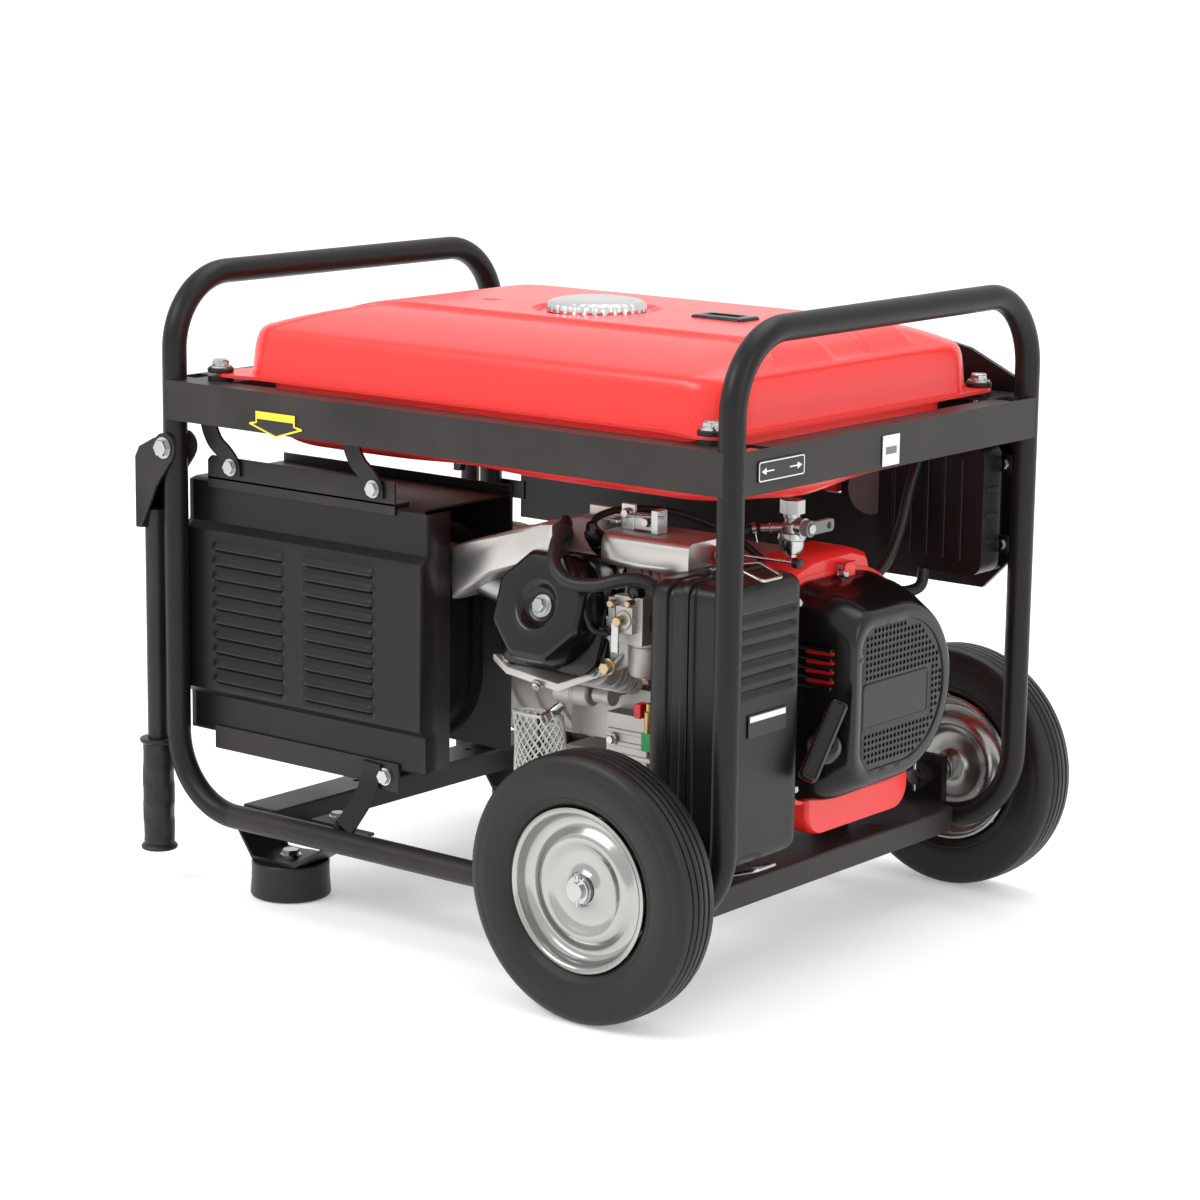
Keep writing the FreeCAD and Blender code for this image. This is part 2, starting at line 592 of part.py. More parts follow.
def muffler_body():
    """Hollow oval drum with two rolled end rims and an outlet stub."""
    x0, x1 = MUFFLER_X
    drum = oval(x0, inset(MUFFLER_Y, 2), inset(MUFFLER_Z, 2), x1 - x0)
    rims = [oval(x, MUFFLER_Y, MUFFLER_Z, 7) for x in (x0, x1 - 7)]
    dish = oval(x1 - 4, inset(MUFFLER_Y, 6), inset(MUFFLER_Z, 6), 4)
    hollow = oval(x0 + 2, inset(MUFFLER_Y, 4), inset(MUFFLER_Z, 4), x1 - x0 - 8)
    outlet_y, outlet_z = sum(MUFFLER_Y) / 2, MUFFLER_Z[0] + 60
    stub = rod(V(x0 - 14, outlet_y, outlet_z), V(x0 + 6, outlet_y, outlet_z), 15)
    bore = rod(V(x0 - 14, outlet_y, outlet_z), V(x0 + 6, outlet_y, outlet_z), 13)
    return join(drum, *rims, stub).cut([hollow, dish, bore])


def muffler_shield():
    """Pressed heat shield: a raised louvred panel, a roof, a return flange and a baffle behind the drum."""
    y, deep, t = SHIELD_Y, SHIELD_Y - EMBOSS_DEPTH, 1.5
    low, high = SHIELD_Z
    slope = 7.0
    front = [(y, low), (y, EMBOSS_Z[0] - slope), (deep, EMBOSS_Z[0]), (deep, EMBOSS_Z[1]),
             (y, EMBOSS_Z[1] + slope), (y, high)]
    back = [(y + t, high), (y + t, EMBOSS_Z[1] + slope), (deep + t, EMBOSS_Z[1]), (deep + t, EMBOSS_Z[0]),
            (y + t, EMBOSS_Z[0] - slope), (y + t, low)]
    sheet = prism([V(SHIELD_X[0], py, pz) for py, pz in front + back], V(SHIELD_X[1] - SHIELD_X[0], 0, 0))
    baffle_y = MUFFLER_Y[1] + 16
    roof = box(inset(SHIELD_X, 4), (y, baffle_y), (high - t, high))
    baffle = box(inset(SHIELD_X, 4), (baffle_y, baffle_y + t), (low, high + 12))
    side = box((SHIELD_X[1] - t, SHIELD_X[1]), (y, y + 34), (low, high))
    pitch = (LOUVRE_Z[1] - LOUVRE_Z[0]) / (LOUVRE_ROWS - 1)
    slots = []
    for x0, x1 in LOUVRE_GROUPS:
        for row in range(LOUVRE_ROWS):
            z = LOUVRE_Z[0] + row * pitch
            slots.append(box((x0, x1), (deep - 1, deep + t + 1), (z - 1.5, z + 1.5)))
    return join(sheet, roof, side, baffle).cut(slots)


def muffler_brackets():
    """Bolting flanges above and below the shield, with their straps to the tank bars and the rail."""
    y = SHIELD_Y
    upper = box((-323, -68), (y - 3, y), (SHIELD_Z[1] - 6, 456))
    lower = box((-316, -63), (y - 3, y), (150, SHIELD_Z[0] + 8))
    upper = join(upper, box((-323, -68), (y - 3, y + 18), (SHIELD_Z[1], SHIELD_Z[1] + 3)))
    straps = []
    for foot_x, top_x in ((-287, -312), (-93, -117)):
        side_outline = [V(0, -POST_Y + 6, 492), V(0, -POST_Y + 9, 492), V(0, y, 466), V(0, y - 3.2, 438),
                        V(0, y - 6.2, 438), V(0, y - 5, 462)]
        strap = prism(side_outline, V(28, 0, 0))
        strap.translate(V(foot_x - 21, 0, 0))
        straps.append(strap.cut(rod(V(foot_x, y - 8, 447), V(foot_x, y + 1, 447), 4.2)))
    strut = prism([V(-116, y - 3.2, 172), V(-92, y - 3.2, 172), V(-92, y - 6.2, 172), V(-116, y - 6.2, 172)],
                  V(0, 0, -16))
    leg = prism([V(-116, y - 3.2, 156), V(-116, y - 6.2, 156), V(-116, -POST_Y - 1, 103), V(-116, -POST_Y + 3, 103)],
                V(24, 0, 0))
    upper = upper.cut([rod(V(x, y - 4, 447), V(x, y + 1, 447), 4.2) for x in (-287, -93)])
    lower = lower.cut(rod(V(-80, y - 4, 160), V(-80, y + 1, 160), 4.2))
    return group(upper, lower, *straps, join(strut, leg))


def exhaust_pipe():
    """Wrapped elbow from the cylinder head into the muffler's end."""
    points = [V(MUFFLER_X[1] - 3, -162, 368), V(-36, -162, 368), V(-14, -154, 356), V(10, -140, 346),
              V(CYLINDER_X - 64.2, -140, 346)]
    wrap = rod(V(MUFFLER_X[1] + 2, -162, 368), V(-36, -162, 368), 21)
    return join(hose(points, 16), wrap)


def exhaust_shroud():
    """Sheet guard over the exhaust port and the head, in two folded lobes."""
    front, back, sheet = -190, -106, 2.5
    lower = [(100, 400), (20, 372), (-10, 352), (-30, 340)]
    upper = [(-30, 394), (24, 410), (86, 430), (100, 430)]
    lobe = prism([V(x, front, z) for x, z in lower + upper], V(0, back - front, 0))
    under = [(97.5, 300), (-27.5, 300)] + [(min(max(x, -27.5), 97.5), z - sheet) for x, z in upper]
    under = prism([V(x, front + sheet, z) for x, z in under], V(0, back - front, 0))
    roof = box((134, 250), (-174, -96), (423, 426))
    nose = box((134, 238), (-176, -173), (394, 426))
    link = box((90, 138), (-112, -100), (424, 427))
    cover_room = rod(engine_point(HEAD_END - 40), engine_point(COVER_END + 20), 68)
    pipe_room = rod(V(-40, -162, 368), V(-20, -162, 364), 23)
    return join(lobe.cut([under, cover_room, pipe_room]), roof, nose, link)


# ---- engine ----
def crankcase():
    """Cast case with the crank chamber, both main bearings and the finned cylinder."""
    case = box(CASE_X, (CRANK_Y - 96, CRANK_Y + 92), CASE_Z)
    case = soften(case, 18, runs_along(X_AXIS))
    barrel = rod(engine_point(50), engine_point(DECK), BORE_R + 9)
    fins = []
    for i in range(7):
        start = engine_point(104 + i * 9)
        fins.append(Part.makeCylinder(BORE_R + 24, 3, start, CYLINDER_AXIS))
    boss = rod(V(60, CRANK_Y - 88, 180), V(60, CRANK_Y - 122, 172), 17)
    chamber = rod(V(CYLINDER_X - 38, CRANK_Y, CRANK_Z), V(CYLINDER_X + 38, CRANK_Y, CRANK_Z), 56)
    sump = box((60, 195), (CRANK_Y - 80, CRANK_Y + 76), (CASE_Z[0] + 10, CRANK_Z - 70))
    shaft = rod(V(CASE_X[0] - 1, CRANK_Y, CRANK_Z), V(CASE_X[1] + 1, CRANK_Y, CRANK_Z), SHAFT_R + RUNNING_GAP)
    bore = rod(engine_point(0), engine_point(DECK), BORE_R + RUNNING_GAP)
    head_room = box((60, 195), (CRANK_Y - 30, CRANK_Y + 76), (CRANK_Z + 66, CASE_Z[1] - 10))
    gear_room = ring(V(CYLINDER_X + 48, CRANK_Y, CRANK_Z), X_AXIS, 64, SHAFT_R + 12, 58)
    solid = join(case, barrel, boss, *fins)
    return solid.cut([chamber, gear_room, sump, shaft, bore, head_room])


def cylinder_head():
    """Head casting between the cylinder deck and the rocker cover."""
    core = box((CYLINDER_X - 64, CYLINDER_X + 64), (-62, 62), (0, HEAD_END - DECK))
    core = soften(core, 14, runs_along(Z_AXIS))
    grooves = []
    for i in range(3):
        z = 10 + i * 13
        grooves.append(box((0, 200), (-70, -50), (z, z + 6)))
        grooves.append(box((0, 200), (50, 70), (z, z + 6)))
    chamber = box((CYLINDER_X - 36, CYLINDER_X + 36), (-34, 34), (14, HEAD_END - DECK))
    core = core.cut(grooves + [chamber])
    core.Placement = FreeCAD.Placement(engine_point(DECK, 0, 0), FreeCAD.Rotation(Z_AXIS, CYLINDER_AXIS))
    return core.cut(rod(PLUG_TIP, PLUG_TOP, 7))


def rocker_cover():
    """Eight-sided pressed cover with a recessed centre bolt."""
    def octagon(radius, z):
        start = 22.5
        return Part.makePolygon([V(CYLINDER_X + radius * math.cos(math.radians(start + 45 * i)),
                                   radius * math.sin(math.radians(start + 45 * i)), z) for i in range(9)])
    height = COVER_END - HEAD_END
    flange = soften(box((CYLINDER_X - 62, CYLINDER_X + 62), (-60, 60), (0, 8)), 30, runs_along(Z_AXIS))
    body = Part.makeLoft([octagon(60, 6), octagon(56, height - 5), octagon(51, height)], True, True)
    hollow = Part.makeLoft([octagon(55, -1), octagon(52, height - 8)], True, True)
    recess = Part.makeCone(14, 22, 9, V(CYLINDER_X, 0, height - 9))
    post = Part.makeCylinder(18, height - 3, V(CYLINDER_X, 0, 0))
    bolt = Part.makeCylinder(9, 7, V(CYLINDER_X, 0, height - 9))
    cover = join(join(flange, body).cut(hollow), post).cut(recess)
    cover = join(cover, bolt)
    cover.Placement = FreeCAD.Placement(engine_point(HEAD_END, 0, 0), FreeCAD.Rotation(Z_AXIS, CYLINDER_AXIS))
    return cover


def fan_outline(grow, x):
    """D-shaped outline about the crankshaft: a round far side and a flat near side."""
    radius = 108 + grow
    flat_y = CRANK_Y - 98 - grow / 2
    corner = 30.0
    top, bottom = CRANK_Z + radius, CRANK_Z - radius
    far = V(x, CRANK_Y + radius, CRANK_Z)
    high, low = V(x, CRANK_Y, top), V(x, CRANK_Y, bottom)
    slant = radius * math.sqrt(0.5)
    half = corner * math.sqrt(0.5)
    upper = Part.Arc(high, V(x, CRANK_Y + slant, CRANK_Z + slant), far).toShape()
    lower = Part.Arc(far, V(x, CRANK_Y + slant, CRANK_Z - slant), low).toShape()
    floor = Part.makeLine(low, V(x, flat_y + corner, bottom))
    low_arc = Part.Arc(V(x, flat_y + corner, bottom), V(x, flat_y + corner - half, bottom + corner - half),
                       V(x, flat_y, bottom + corner)).toShape()
    flat = Part.makeLine(V(x, flat_y, bottom + corner), V(x, flat_y, top - corner))
    high_arc = Part.Arc(V(x, flat_y, top - corner), V(x, flat_y + corner - half, top - corner + half),
                        V(x, flat_y + corner, top)).toShape()
    roof = Part.makeLine(V(x, flat_y + corner, top), high)
    return Part.Wire([upper, lower, floor, low_arc, flat, high_arc, roof])


def fan_solid(grow, x0, x1):
    return Part.Face(fan_outline(grow, x0)).extrude(V(x1 - x0, 0, 0))


def fan_dome(grow, x0, x1):
    """Fan cover form: straight at the back, then drawn in towards its face."""
    waist = x1 - 22
    sections = [fan_outline(grow, x0), fan_outline(grow - 4, waist - 20), fan_outline(grow - 12, waist),
                fan_outline(grow - 24, x1)]
    return Part.makeLoft(sections, True, True)


def blower_housing():
    """Red pressed housing round the flywheel, with its duct towards the cylinder."""
    shell = fan_solid(4, CASE_X[1] + 5, FAN_BACK_X)
    inside = fan_solid(0.5, CASE_X[1] + 8, FAN_BACK_X + 1)
    duct = soften(box((CASE_X[1] + 5, FAN_BACK_X - 2), (CRANK_Y - 95, CRANK_Y + 50), (CRANK_Z + 90, 380)), 12,
                  runs_along(X_AXIS))
    foot = soften(box((CASE_X[1] + 5, FAN_BACK_X - 2), (CRANK_Y - 64, CRANK_Y + 112), (118, CRANK_Z - 94)), 20,
                  runs_along(X_AXIS))
    under = box((CASE_X[1] + 8.5, FAN_BACK_X - 5.5), (CRANK_Y - 54, CRANK_Y + 102), (121.5, CRANK_Z - 80))
    hole = rod(V(CASE_X[1], CRANK_Y, CRANK_Z), V(CASE_X[1] + 20, CRANK_Y, CRANK_Z), 40)
    return join(shell, duct, foot.cut(under)).cut([inside, hole])


ROPE_START = V(340.0, -82.0, 236.0)
PULL = V(0.65, -0.65, 0.4).normalize()
ROPE_R = 2.5
ROPE_STRETCH = 90.0


def fan_cover():
    """Black moulded fan and recoil cover: four side slots, bottom slots and a rope hole."""
    shell = fan_dome(0, FAN_BACK_X, FAN_FACE_X)
    inside = fan_dome(-3, FAN_BACK_X - 1, FAN_FACE_X - 3)
    boss = rod(ROPE_START - PULL * 60, ROPE_START - PULL * 3, 12)
    slots = []
    for i in range(4):
        z = 282 + i * 9
        slots.append(box((286, 326), (CRANK_Y - 110, CRANK_Y - 80), (z, z + 5)))
    for i in range(3):
        x = 284 + i * 12
        slots.append(box((x, x + 5), (-16, 34), (CRANK_Z - 120, CRANK_Z - 84)))
    rope_hole = rod(ROPE_START - PULL * 110, ROPE_START + PULL * 10, ROPE_R + 0.6)
    return join(shell, boss).cut([inside, rope_hole] + slots)


def recoil_grip():
    """T-grip with the straight stretch of starter rope behind it."""
    along = V(-0.04, 0.64, 0.77)
    along = (along - PULL * along.dot(PULL)).normalize()
    across = PULL.cross(along)
    base = ROPE_START + PULL * 1.0
    corners = []
    for a, b in ((-41, -9), (41, -9), (41, 9), (-41, 9)):
        corners.append(base + along * a + across * b)
    block = prism(corners, PULL * 17)
    block = soften(block, 4, lambda e: abs(e.tangentAt(e.FirstParameter).dot(PULL)) > 0.99)
    rope = rod(base - PULL * ROPE_STRETCH, base + PULL * 2, ROPE_R)
    return join(block, rope)


def recoil_pulley():
    """Starter pulley behind the fan cover, turning about the crankshaft line."""
    x0 = 300.0
    sheave = ring(V(x0, CRANK_Y, CRANK_Z), X_AXIS, 45, 9, 14)
    groove = ring(V(x0 + 4, CRANK_Y, CRANK_Z), X_AXIS, 47, 40, 6)
    return sheave.cut(groove)


def crankshaft():
    """Shaft through engine and alternator, with two webs and the crankpin."""
    shaft = rod(V(ALTERNATOR_X[0] + 14, CRANK_Y, CRANK_Z), V(268, CRANK_Y, CRANK_Z), SHAFT_R)
    tail = rod(V(ALTERNATOR_X[0] + 3, CRANK_Y, CRANK_Z), V(ALTERNATOR_X[0] + 14, CRANK_Y, CRANK_Z), 12)
    web, half_gap = 14, 20
    starts = (CYLINDER_X - half_gap - web, CYLINDER_X + half_gap)
    webs = [rod(V(x, CRANK_Y, CRANK_Z), V(x + web, CRANK_Y, CRANK_Z), 50) for x in starts]
    gap = rod(V(CYLINDER_X - half_gap, CRANK_Y, CRANK_Z), V(CYLINDER_X + half_gap, CRANK_Y, CRANK_Z), 55)
    pin = rod(V(starts[0], CRANK_Y - STROKE / 2, CRANK_Z), V(starts[1] + web, CRANK_Y - STROKE / 2, CRANK_Z), 14)
    return join(shaft.cut(gap), tail, *webs, pin)


def flywheel():
    """Cast flywheel with its cooling fan blades."""
    x0 = 232.0
    disc = ring(V(x0, CRANK_Y, CRANK_Z), X_AXIS, FLYWHEEL_R, SHAFT_R, 14)
    rim_ring = ring(V(x0, CRANK_Y, CRANK_Z), X_AXIS, FLYWHEEL_R, FLYWHEEL_R - 16, 24)
    blades = []
    for i in range(16):
        blade = box((x0 + 10, x0 + 30), (CRANK_Y + 50, CRANK_Y + FLYWHEEL_R - 6), (CRANK_Z - 1.5, CRANK_Z + 1.5))
        blade.rotate(V(0, CRANK_Y, CRANK_Z), X_AXIS, i * 360 / 16)
        blades.append(blade)
    return join(disc, rim_ring, *blades)


def piston():
    """Piston at the top of its stroke."""
    crown = engine_point(DECK - 3)
    body = Part.makeCylinder(BORE_R, 42, crown, CYLINDER_AXIS * -1)
    inside = Part.makeCylinder(BORE_R - 6, 42, engine_point(DECK - 13), CYLINDER_AXIS * -1)
    grooves = [ring(engine_point(DECK - 10 - 6 * i), CYLINDER_AXIS * -1, BORE_R + 1, BORE_R - 3, 1.5)
               for i in range(3)]
    return body.cut([inside] + grooves)


def alternator_housing():
    """Finned barrel with an end bracket that carries the rear bearing and the mounting feet."""
    x0, x1 = ALTERNATOR_X
    barrel = ring(V(x0 + 14, CRANK_Y, CRANK_Z), X_AXIS, ALTERNATOR_R, ALTERNATOR_R - 7, x1 - x0 - 14)
    ribs = [ring(V(x, CRANK_Y, CRANK_Z), X_AXIS, ALTERNATOR_R + 4, ALTERNATOR_R - 2, 3)
            for x in range(int(x0) + 50, int(x1) - 20, 30)]
    end = ring(V(x0, CRANK_Y, CRANK_Z), X_AXIS, ALTERNATOR_R, 12 + RUNNING_GAP, 14)
    feet = box((x0 + 12, x0 + 48), (-44, CRANK_Y + 94), (CASE_Z[0], CASE_Z[0] + 60))
    room = rod(V(x0, CRANK_Y, CRANK_Z), V(x1, CRANK_Y, CRANK_Z), ALTERNATOR_R - 7)
    arch = rod(V(x0, CRANK_Y, CASE_Z[0] - 30), V(x1, CRANK_Y, CASE_Z[0] - 30), 60)
    return join(barrel, end, *ribs, feet.cut([room, arch]))


def alternator_stator():
    x0, x1 = ALTERNATOR_X
    margin = (x1 - x0 - STACK_LENGTH) / 2
    core = ring(V(x0 + margin, CRANK_Y, CRANK_Z), X_AXIS, ALTERNATOR_R - 7, ROTOR_R + 1, STACK_LENGTH)
    coils = [ring(V(x, CRANK_Y, CRANK_Z), X_AXIS, ALTERNATOR_R - 12, ROTOR_R + 6, 24)
             for x in (x0 + margin - 24, x1 - margin)]
    return join(core, *coils)


def alternator_rotor():
    x0, x1 = ALTERNATOR_X
    margin = (x1 - x0 - STACK_LENGTH) / 2 - 4
    core = ring(V(x0 + margin, CRANK_Y, CRANK_Z), X_AXIS, ROTOR_R, SHAFT_R, STACK_LENGTH + 8)
    fan = ring(V(x1 - 40, CRANK_Y, CRANK_Z), X_AXIS, ALTERNATOR_R - 12, SHAFT_R, 6)
    return group(core, fan)


# ---- air filter, carburettor and hoses ----
def filter_block(x, shrink):
    block = box(x, inset(FILTER_Y, shrink), inset(FILTER_Z, shrink))
    return soften(block, 16 - shrink, runs_along(X_AXIS))


def air_filter_case():
    """Back half of the filter box, with its intake spigot."""
    x0, seam = FILTER_X[0], FILTER_X[1]
    shell = filter_block((x0, seam), 0).cut(filter_block((x0 + 3, seam + 1), 3))
    lip = filter_block((seam - 8, seam), -3).cut(filter_block((seam - 9, seam + 1), 2))
    spigot = ring(V(x0 - 39, -150, 345), X_AXIS, 20, 16, 43)
    throat = rod(V(x0 - 1, -150, 345), V(x0 + 5, -150, 345), 16)
    return join(shell.cut(throat), lip, spigot)


def air_filter_cover():
    """Ribbed front half of the filter box."""
    seam, x1 = FILTER_X[1] + 0.3, FILTER_X[2]
    block = filter_block((seam, x1), 0)
    block = soften(block, 10, lambda e: e.BoundBox.XMin > x1 - 0.5)
    grooves = []
    for i in range(6):
        z = 300 + i * 14
        grooves.append(rod(V(x1 + 1.5, FILTER_Y[0] + 12, z), V(x1 + 1.5, FILTER_Y[1] - 12, z), 3.5))
    return block.cut([filter_block((seam - 1, x1 - 4), 3)] + grooves)


def air_filter_element():
    """Foam block inside the filter box."""
    return box((FILTER_X[0] + 14, FILTER_X[2] - 14), inset(FILTER_Y, 14), (FILTER_Z[0] + 90, FILTER_Z[1] - 14))


def filter_clip(top):
    """Wire bail that hooks over the cover's edge."""
    z = FILTER_Z[1] + 6.5 if top else FILTER_Z[0] - 6.5
    lean = 1 if top else -1
    y0, y1 = -182.0, -146.0
    points = [V(FILTER_X[1] - 6, y0, z), V(FILTER_X[1] + 20, y0, z + lean * 5), V(FILTER_X[2] + 8, y0 + 2, z - lean * 4),
              V(FILTER_X[2] + 8, y1 - 2, z - lean * 4), V(FILTER_X[1] + 20, y1, z + lean * 5), V(FILTER_X[1] - 6, y1, z)]
    wire = pipe(bent_path(points, [8, 5, 5, 8]), 1.6)
    hinge = rod(V(FILTER_X[1] - 6, y0 - 4, z), V(FILTER_X[1] - 6, y1 + 4, z), 2.2)
    return join(wire, hinge)


def carburettor():
    """Cast body with its float bowl, joined to the head by an insulator block."""
    x0 = CYLINDER_X + 64.3
    body = soften(box((x0 + 6, x0 + 36), (-178, -126), (322, 372)), 6, runs_along(X_AXIS))
    bowl = rod(V(x0 + 21, -152, 322), V(x0 + 21, -152, 286), 17)
    bolt = rod(V(x0 + 21, -152, 286), V(x0 + 21, -152, 280), 5)
    throat = rod(V(x0 - 1, -150, 345), V(x0 + 40, -150, 345), 14)
    insulator = box((x0, x0 + 6), (-172, -130), (328, 366))
    link = rod(V(x0 + 14, -186, 360), V(x0 + 14, -178, 360), 6)
    return join(body, bowl, bolt, insulator, link).cut(throat)


def hoses():
    """Crankcase breather hose and the fuel hose."""
    breather = [V(112, -186, 424), V(116, -206, 414), V(128, -222, 398), V(150, -226, 386), V(178, -222, 386),
                V(202, -212, 394), V(222, -200, 390), V(230, -192, 372), V(230, -188, 350)]
    x, y, z = VALVE[0] - 48, VALVE[1] - 12, TANK_BOTTOM_Z - 40
    fuel = [V(x - 0.5, y - 0.3, z), V(x - 14, y - 10, z - 3), V(x - 26, y - 24, z - 14), V(x - 34, y - 44, z - 30),
            V(x - 36, y - 66, z - 46)]
    return group(hose(breather, 6.5), hose(fuel, 4.0))


def choke_lever():
    """Red choke tab on its pull rod, above the filter box."""
    z = FILTER_Z[1] + 12
    y = -136
    tab = prism([V(238, y, z - 7), V(244, y, z + 5), V(272, y, z + 7), V(272, y, z - 4)], V(0, 3, 0))
    pull = rod(V(270, y + 1.5, z + 2), V(345, y + 1.5, z + 2), 1.8)
    knob = rod(V(341, y + 1.5, z + 2), V(349, y + 1.5, z + 2), 5)
    return join(tab, pull, knob)


def spark_plug():
    """Plug with its rubber elbow cap."""
    x = CYLINDER_X + 22
    plug = rod(PLUG_TIP, PLUG_TOP, 7)
    cap = rod(V(x, -144, 406), V(x, -164, 424), 10)
    lead = hose([V(x, -158, 420), V(x, -140, 446), V(x + 20, -112, 448), V(x + 44, -84, 444)], 3.5)
    return join(plug, cap, lead)


def heat_sleeve():
    """Woven sleeve that guards the loom between the muffler and the engine."""
    lower = [V(16, -146, 112), V(78, -146, 118), V(70, -146, 224), V(6, -146, 224)]
    return soften(prism(lower, V(0, 22, 0)), 8, lambda e: not runs_along(Y_AXIS)(e) and e.Length > 80)


# ---- control panel ----
def control_box():
    """Moulded box behind the panel."""
    back = PANEL_Y[0] - 0.3
    shell = soften(box((205, 330), (205, back), (352, 484)), 14, runs_along(Y_AXIS))
    inside = soften(box((208, 327), (208, back + 1), (355, 481)), 11, runs_along(Y_AXIS))
    notch = box((319, 331), (238, back + 1), (340, 490))
    liner = box((316, 319), (235, back), (366, 470))
    ledge = box((316, 330), (235, 238), (366, 470))
    tabs = [box((318, 336), (POST_Y - 2, POST_Y + 2), (z - 9, z + 9)) for z in PANEL_BOLT_Z]
    holes = [rod(V(328, POST_Y - 3, z), V(328, POST_Y + 3, z), 3.2) for z in PANEL_BOLT_Z]
    return join(shell.cut([inside, notch]), liner, ledge, *tabs).cut(holes)


def control_panel():
    """Front panel on the far side, rising in a fin behind the tank, with its fittings' openings."""
    x0, x1 = PANEL_X
    low, high = PANEL_Z
    edge = [V(x0, PANEL_Y[0], low), V(x1 - 30, PANEL_Y[0], low), V(x1, PANEL_Y[0], low + 30), V(x1, PANEL_Y[0], 548),
            V(x1 - 55, PANEL_Y[0], 573), V(x1 - 105, PANEL_Y[0], 583), V(x1 - 150, PANEL_Y[0], high),
            V(x0 + 30, PANEL_Y[0], high), V(x0, PANEL_Y[0], high - 30)]
    plate = prism(edge, V(0, PANEL_Y[1] - PANEL_Y[0], 0))
    sockets = [rod(V(x, 255, 420), V(x, 275, 420), 26) for x in SOCKET_X]
    switch = box((110 - 10, 110 + 10), (255, 275), (420 - 14, 420 + 14))
    breaker = box((40 - 11, 40 + 11), (255, 275), (420 - 17, 420 + 17))
    lugs = [box((-346, x0 + 6), (POST_Y + TUBE_R + 0.2, PANEL_Y[0] + 0.5), (z - 10, z + 10)) for z in (360, 560)]
    meter = soften(box((80, 140), (PANEL_Y[1], PANEL_Y[1] + 6), (500, 548)), 6, runs_along(Y_AXIS))
    window = box((85, 135), (PANEL_Y[1] + 3, PANEL_Y[1] + 7), (512, 543))
    return join(plate.cut(sockets + [switch, breaker]), meter, *lugs).cut(window)


def power_sockets():
    """Two round sockets with recessed faces and contact holes."""
    parts = []
    for x in SOCKET_X:
        body = rod(V(x, 232, 420), V(x, PANEL_Y[1] + 5, 420), 25.7)
        recess = rod(V(x, 252, 420), V(x, PANEL_Y[1] + 6, 420), 20)
        pins = [rod(V(x + dx, 244, 420), V(x + dx, 253, 420), 2.6) for dx in (-9.5, 9.5)]
        parts.append(body.cut([recess] + pins))
    return group(*parts)


def socket_lid():
    """Hinged lid over the first socket."""
    x, y = SOCKET_X[0], PANEL_Y[1] + 5.4
    lid = rod(V(x, y, 420), V(x, y + 5, 420), 27)
    hinge = rod(V(x - 12, y + 3, 449), V(x + 12, y + 3, 449), 3)
    link = box((x - 10, x + 10), (y, y + 4), (440, 449))
    return join(lid, link, hinge)


def engine_switch():
    """Rocker that stops the engine."""
    rocker = prism([V(101.5, 256, 408), V(101.5, PANEL_Y[1] + 5, 408), V(101.5, PANEL_Y[1] + 1.5, 420),
                    V(101.5, PANEL_Y[1] + 3, 432), V(101.5, 256, 432)], V(17, 0, 0))
    pin_hole = rod(V(100, 266, 420), V(120, 266, 420), 1.5)
    return rocker.cut(pin_hole)


def breaker_toggle():
    """Lever of the main circuit breaker."""
    barrel = rod(V(31, 264, 420), V(49, 264, 420), 9)
    lever = box((36, 44), (264, 286), (416, 424))
    lever.rotate(V(0, 264, 420), X_AXIS, 20)
    return join(barrel, lever)


# ---- fasteners ----
def fasteners():
    """Plated bolts of the tank, the muffler brackets, the feet, the handle pivots and the panel."""
    bolts = []
    for sx in SIDES:
        for sy in SIDES:
            bolts.append(hex_bolt(V(sx * TANK_BOLT[0], sy * TANK_BOLT[1], TANK_SEAM_Z + 5), Z_AXIS, 5, 24))
    for x, z in ((-287, 447), (-93, 447), (-80, 160)):
        bolts.append(hex_bolt(V(x, SHIELD_Y - (6.2 if z > 400 else 3), z), V(0, -1, 0), 4, 2.9 if z > 400 else 1))
    for side in SIDES:
        bolts.append(hex_bolt(V(FOOT_X, side * FOOT_Y, FOOT_HEIGHT + SHEET), Z_AXIS, 5, FOOT_HEIGHT - 8))
        bolts.append(hex_bolt(V(TAB_X, side * TAB_Y, MEMBER_TOP), Z_AXIS, 4, 2.5))
        outer = side * (POST_Y + TUBE_R + 4.3)
        pivot = hex_bolt(V(-POST_X, outer, PIVOT_Z), V(0, side, 0), PIVOT_R, 2 * TUBE_R + 12)
        bolts.append(pivot)
    for z in PANEL_BOLT_Z:
        bolts.append(hex_bolt(V(328, POST_Y - 2, z), V(0, -1, 0), 3, 1.5))
    return group(*bolts)


def end_hoop_with_pivots(side):
    """End hoop, bored for the two handle pivots on the handle end."""
    hoop = end_hoop(side)
    if side < 0:
        hoop = hoop.cut(rod(V(-POST_X, -POST_Y - 30, PIVOT_Z), V(-POST_X, POST_Y + 30, PIVOT_Z), PIVOT_R))
    return hoop


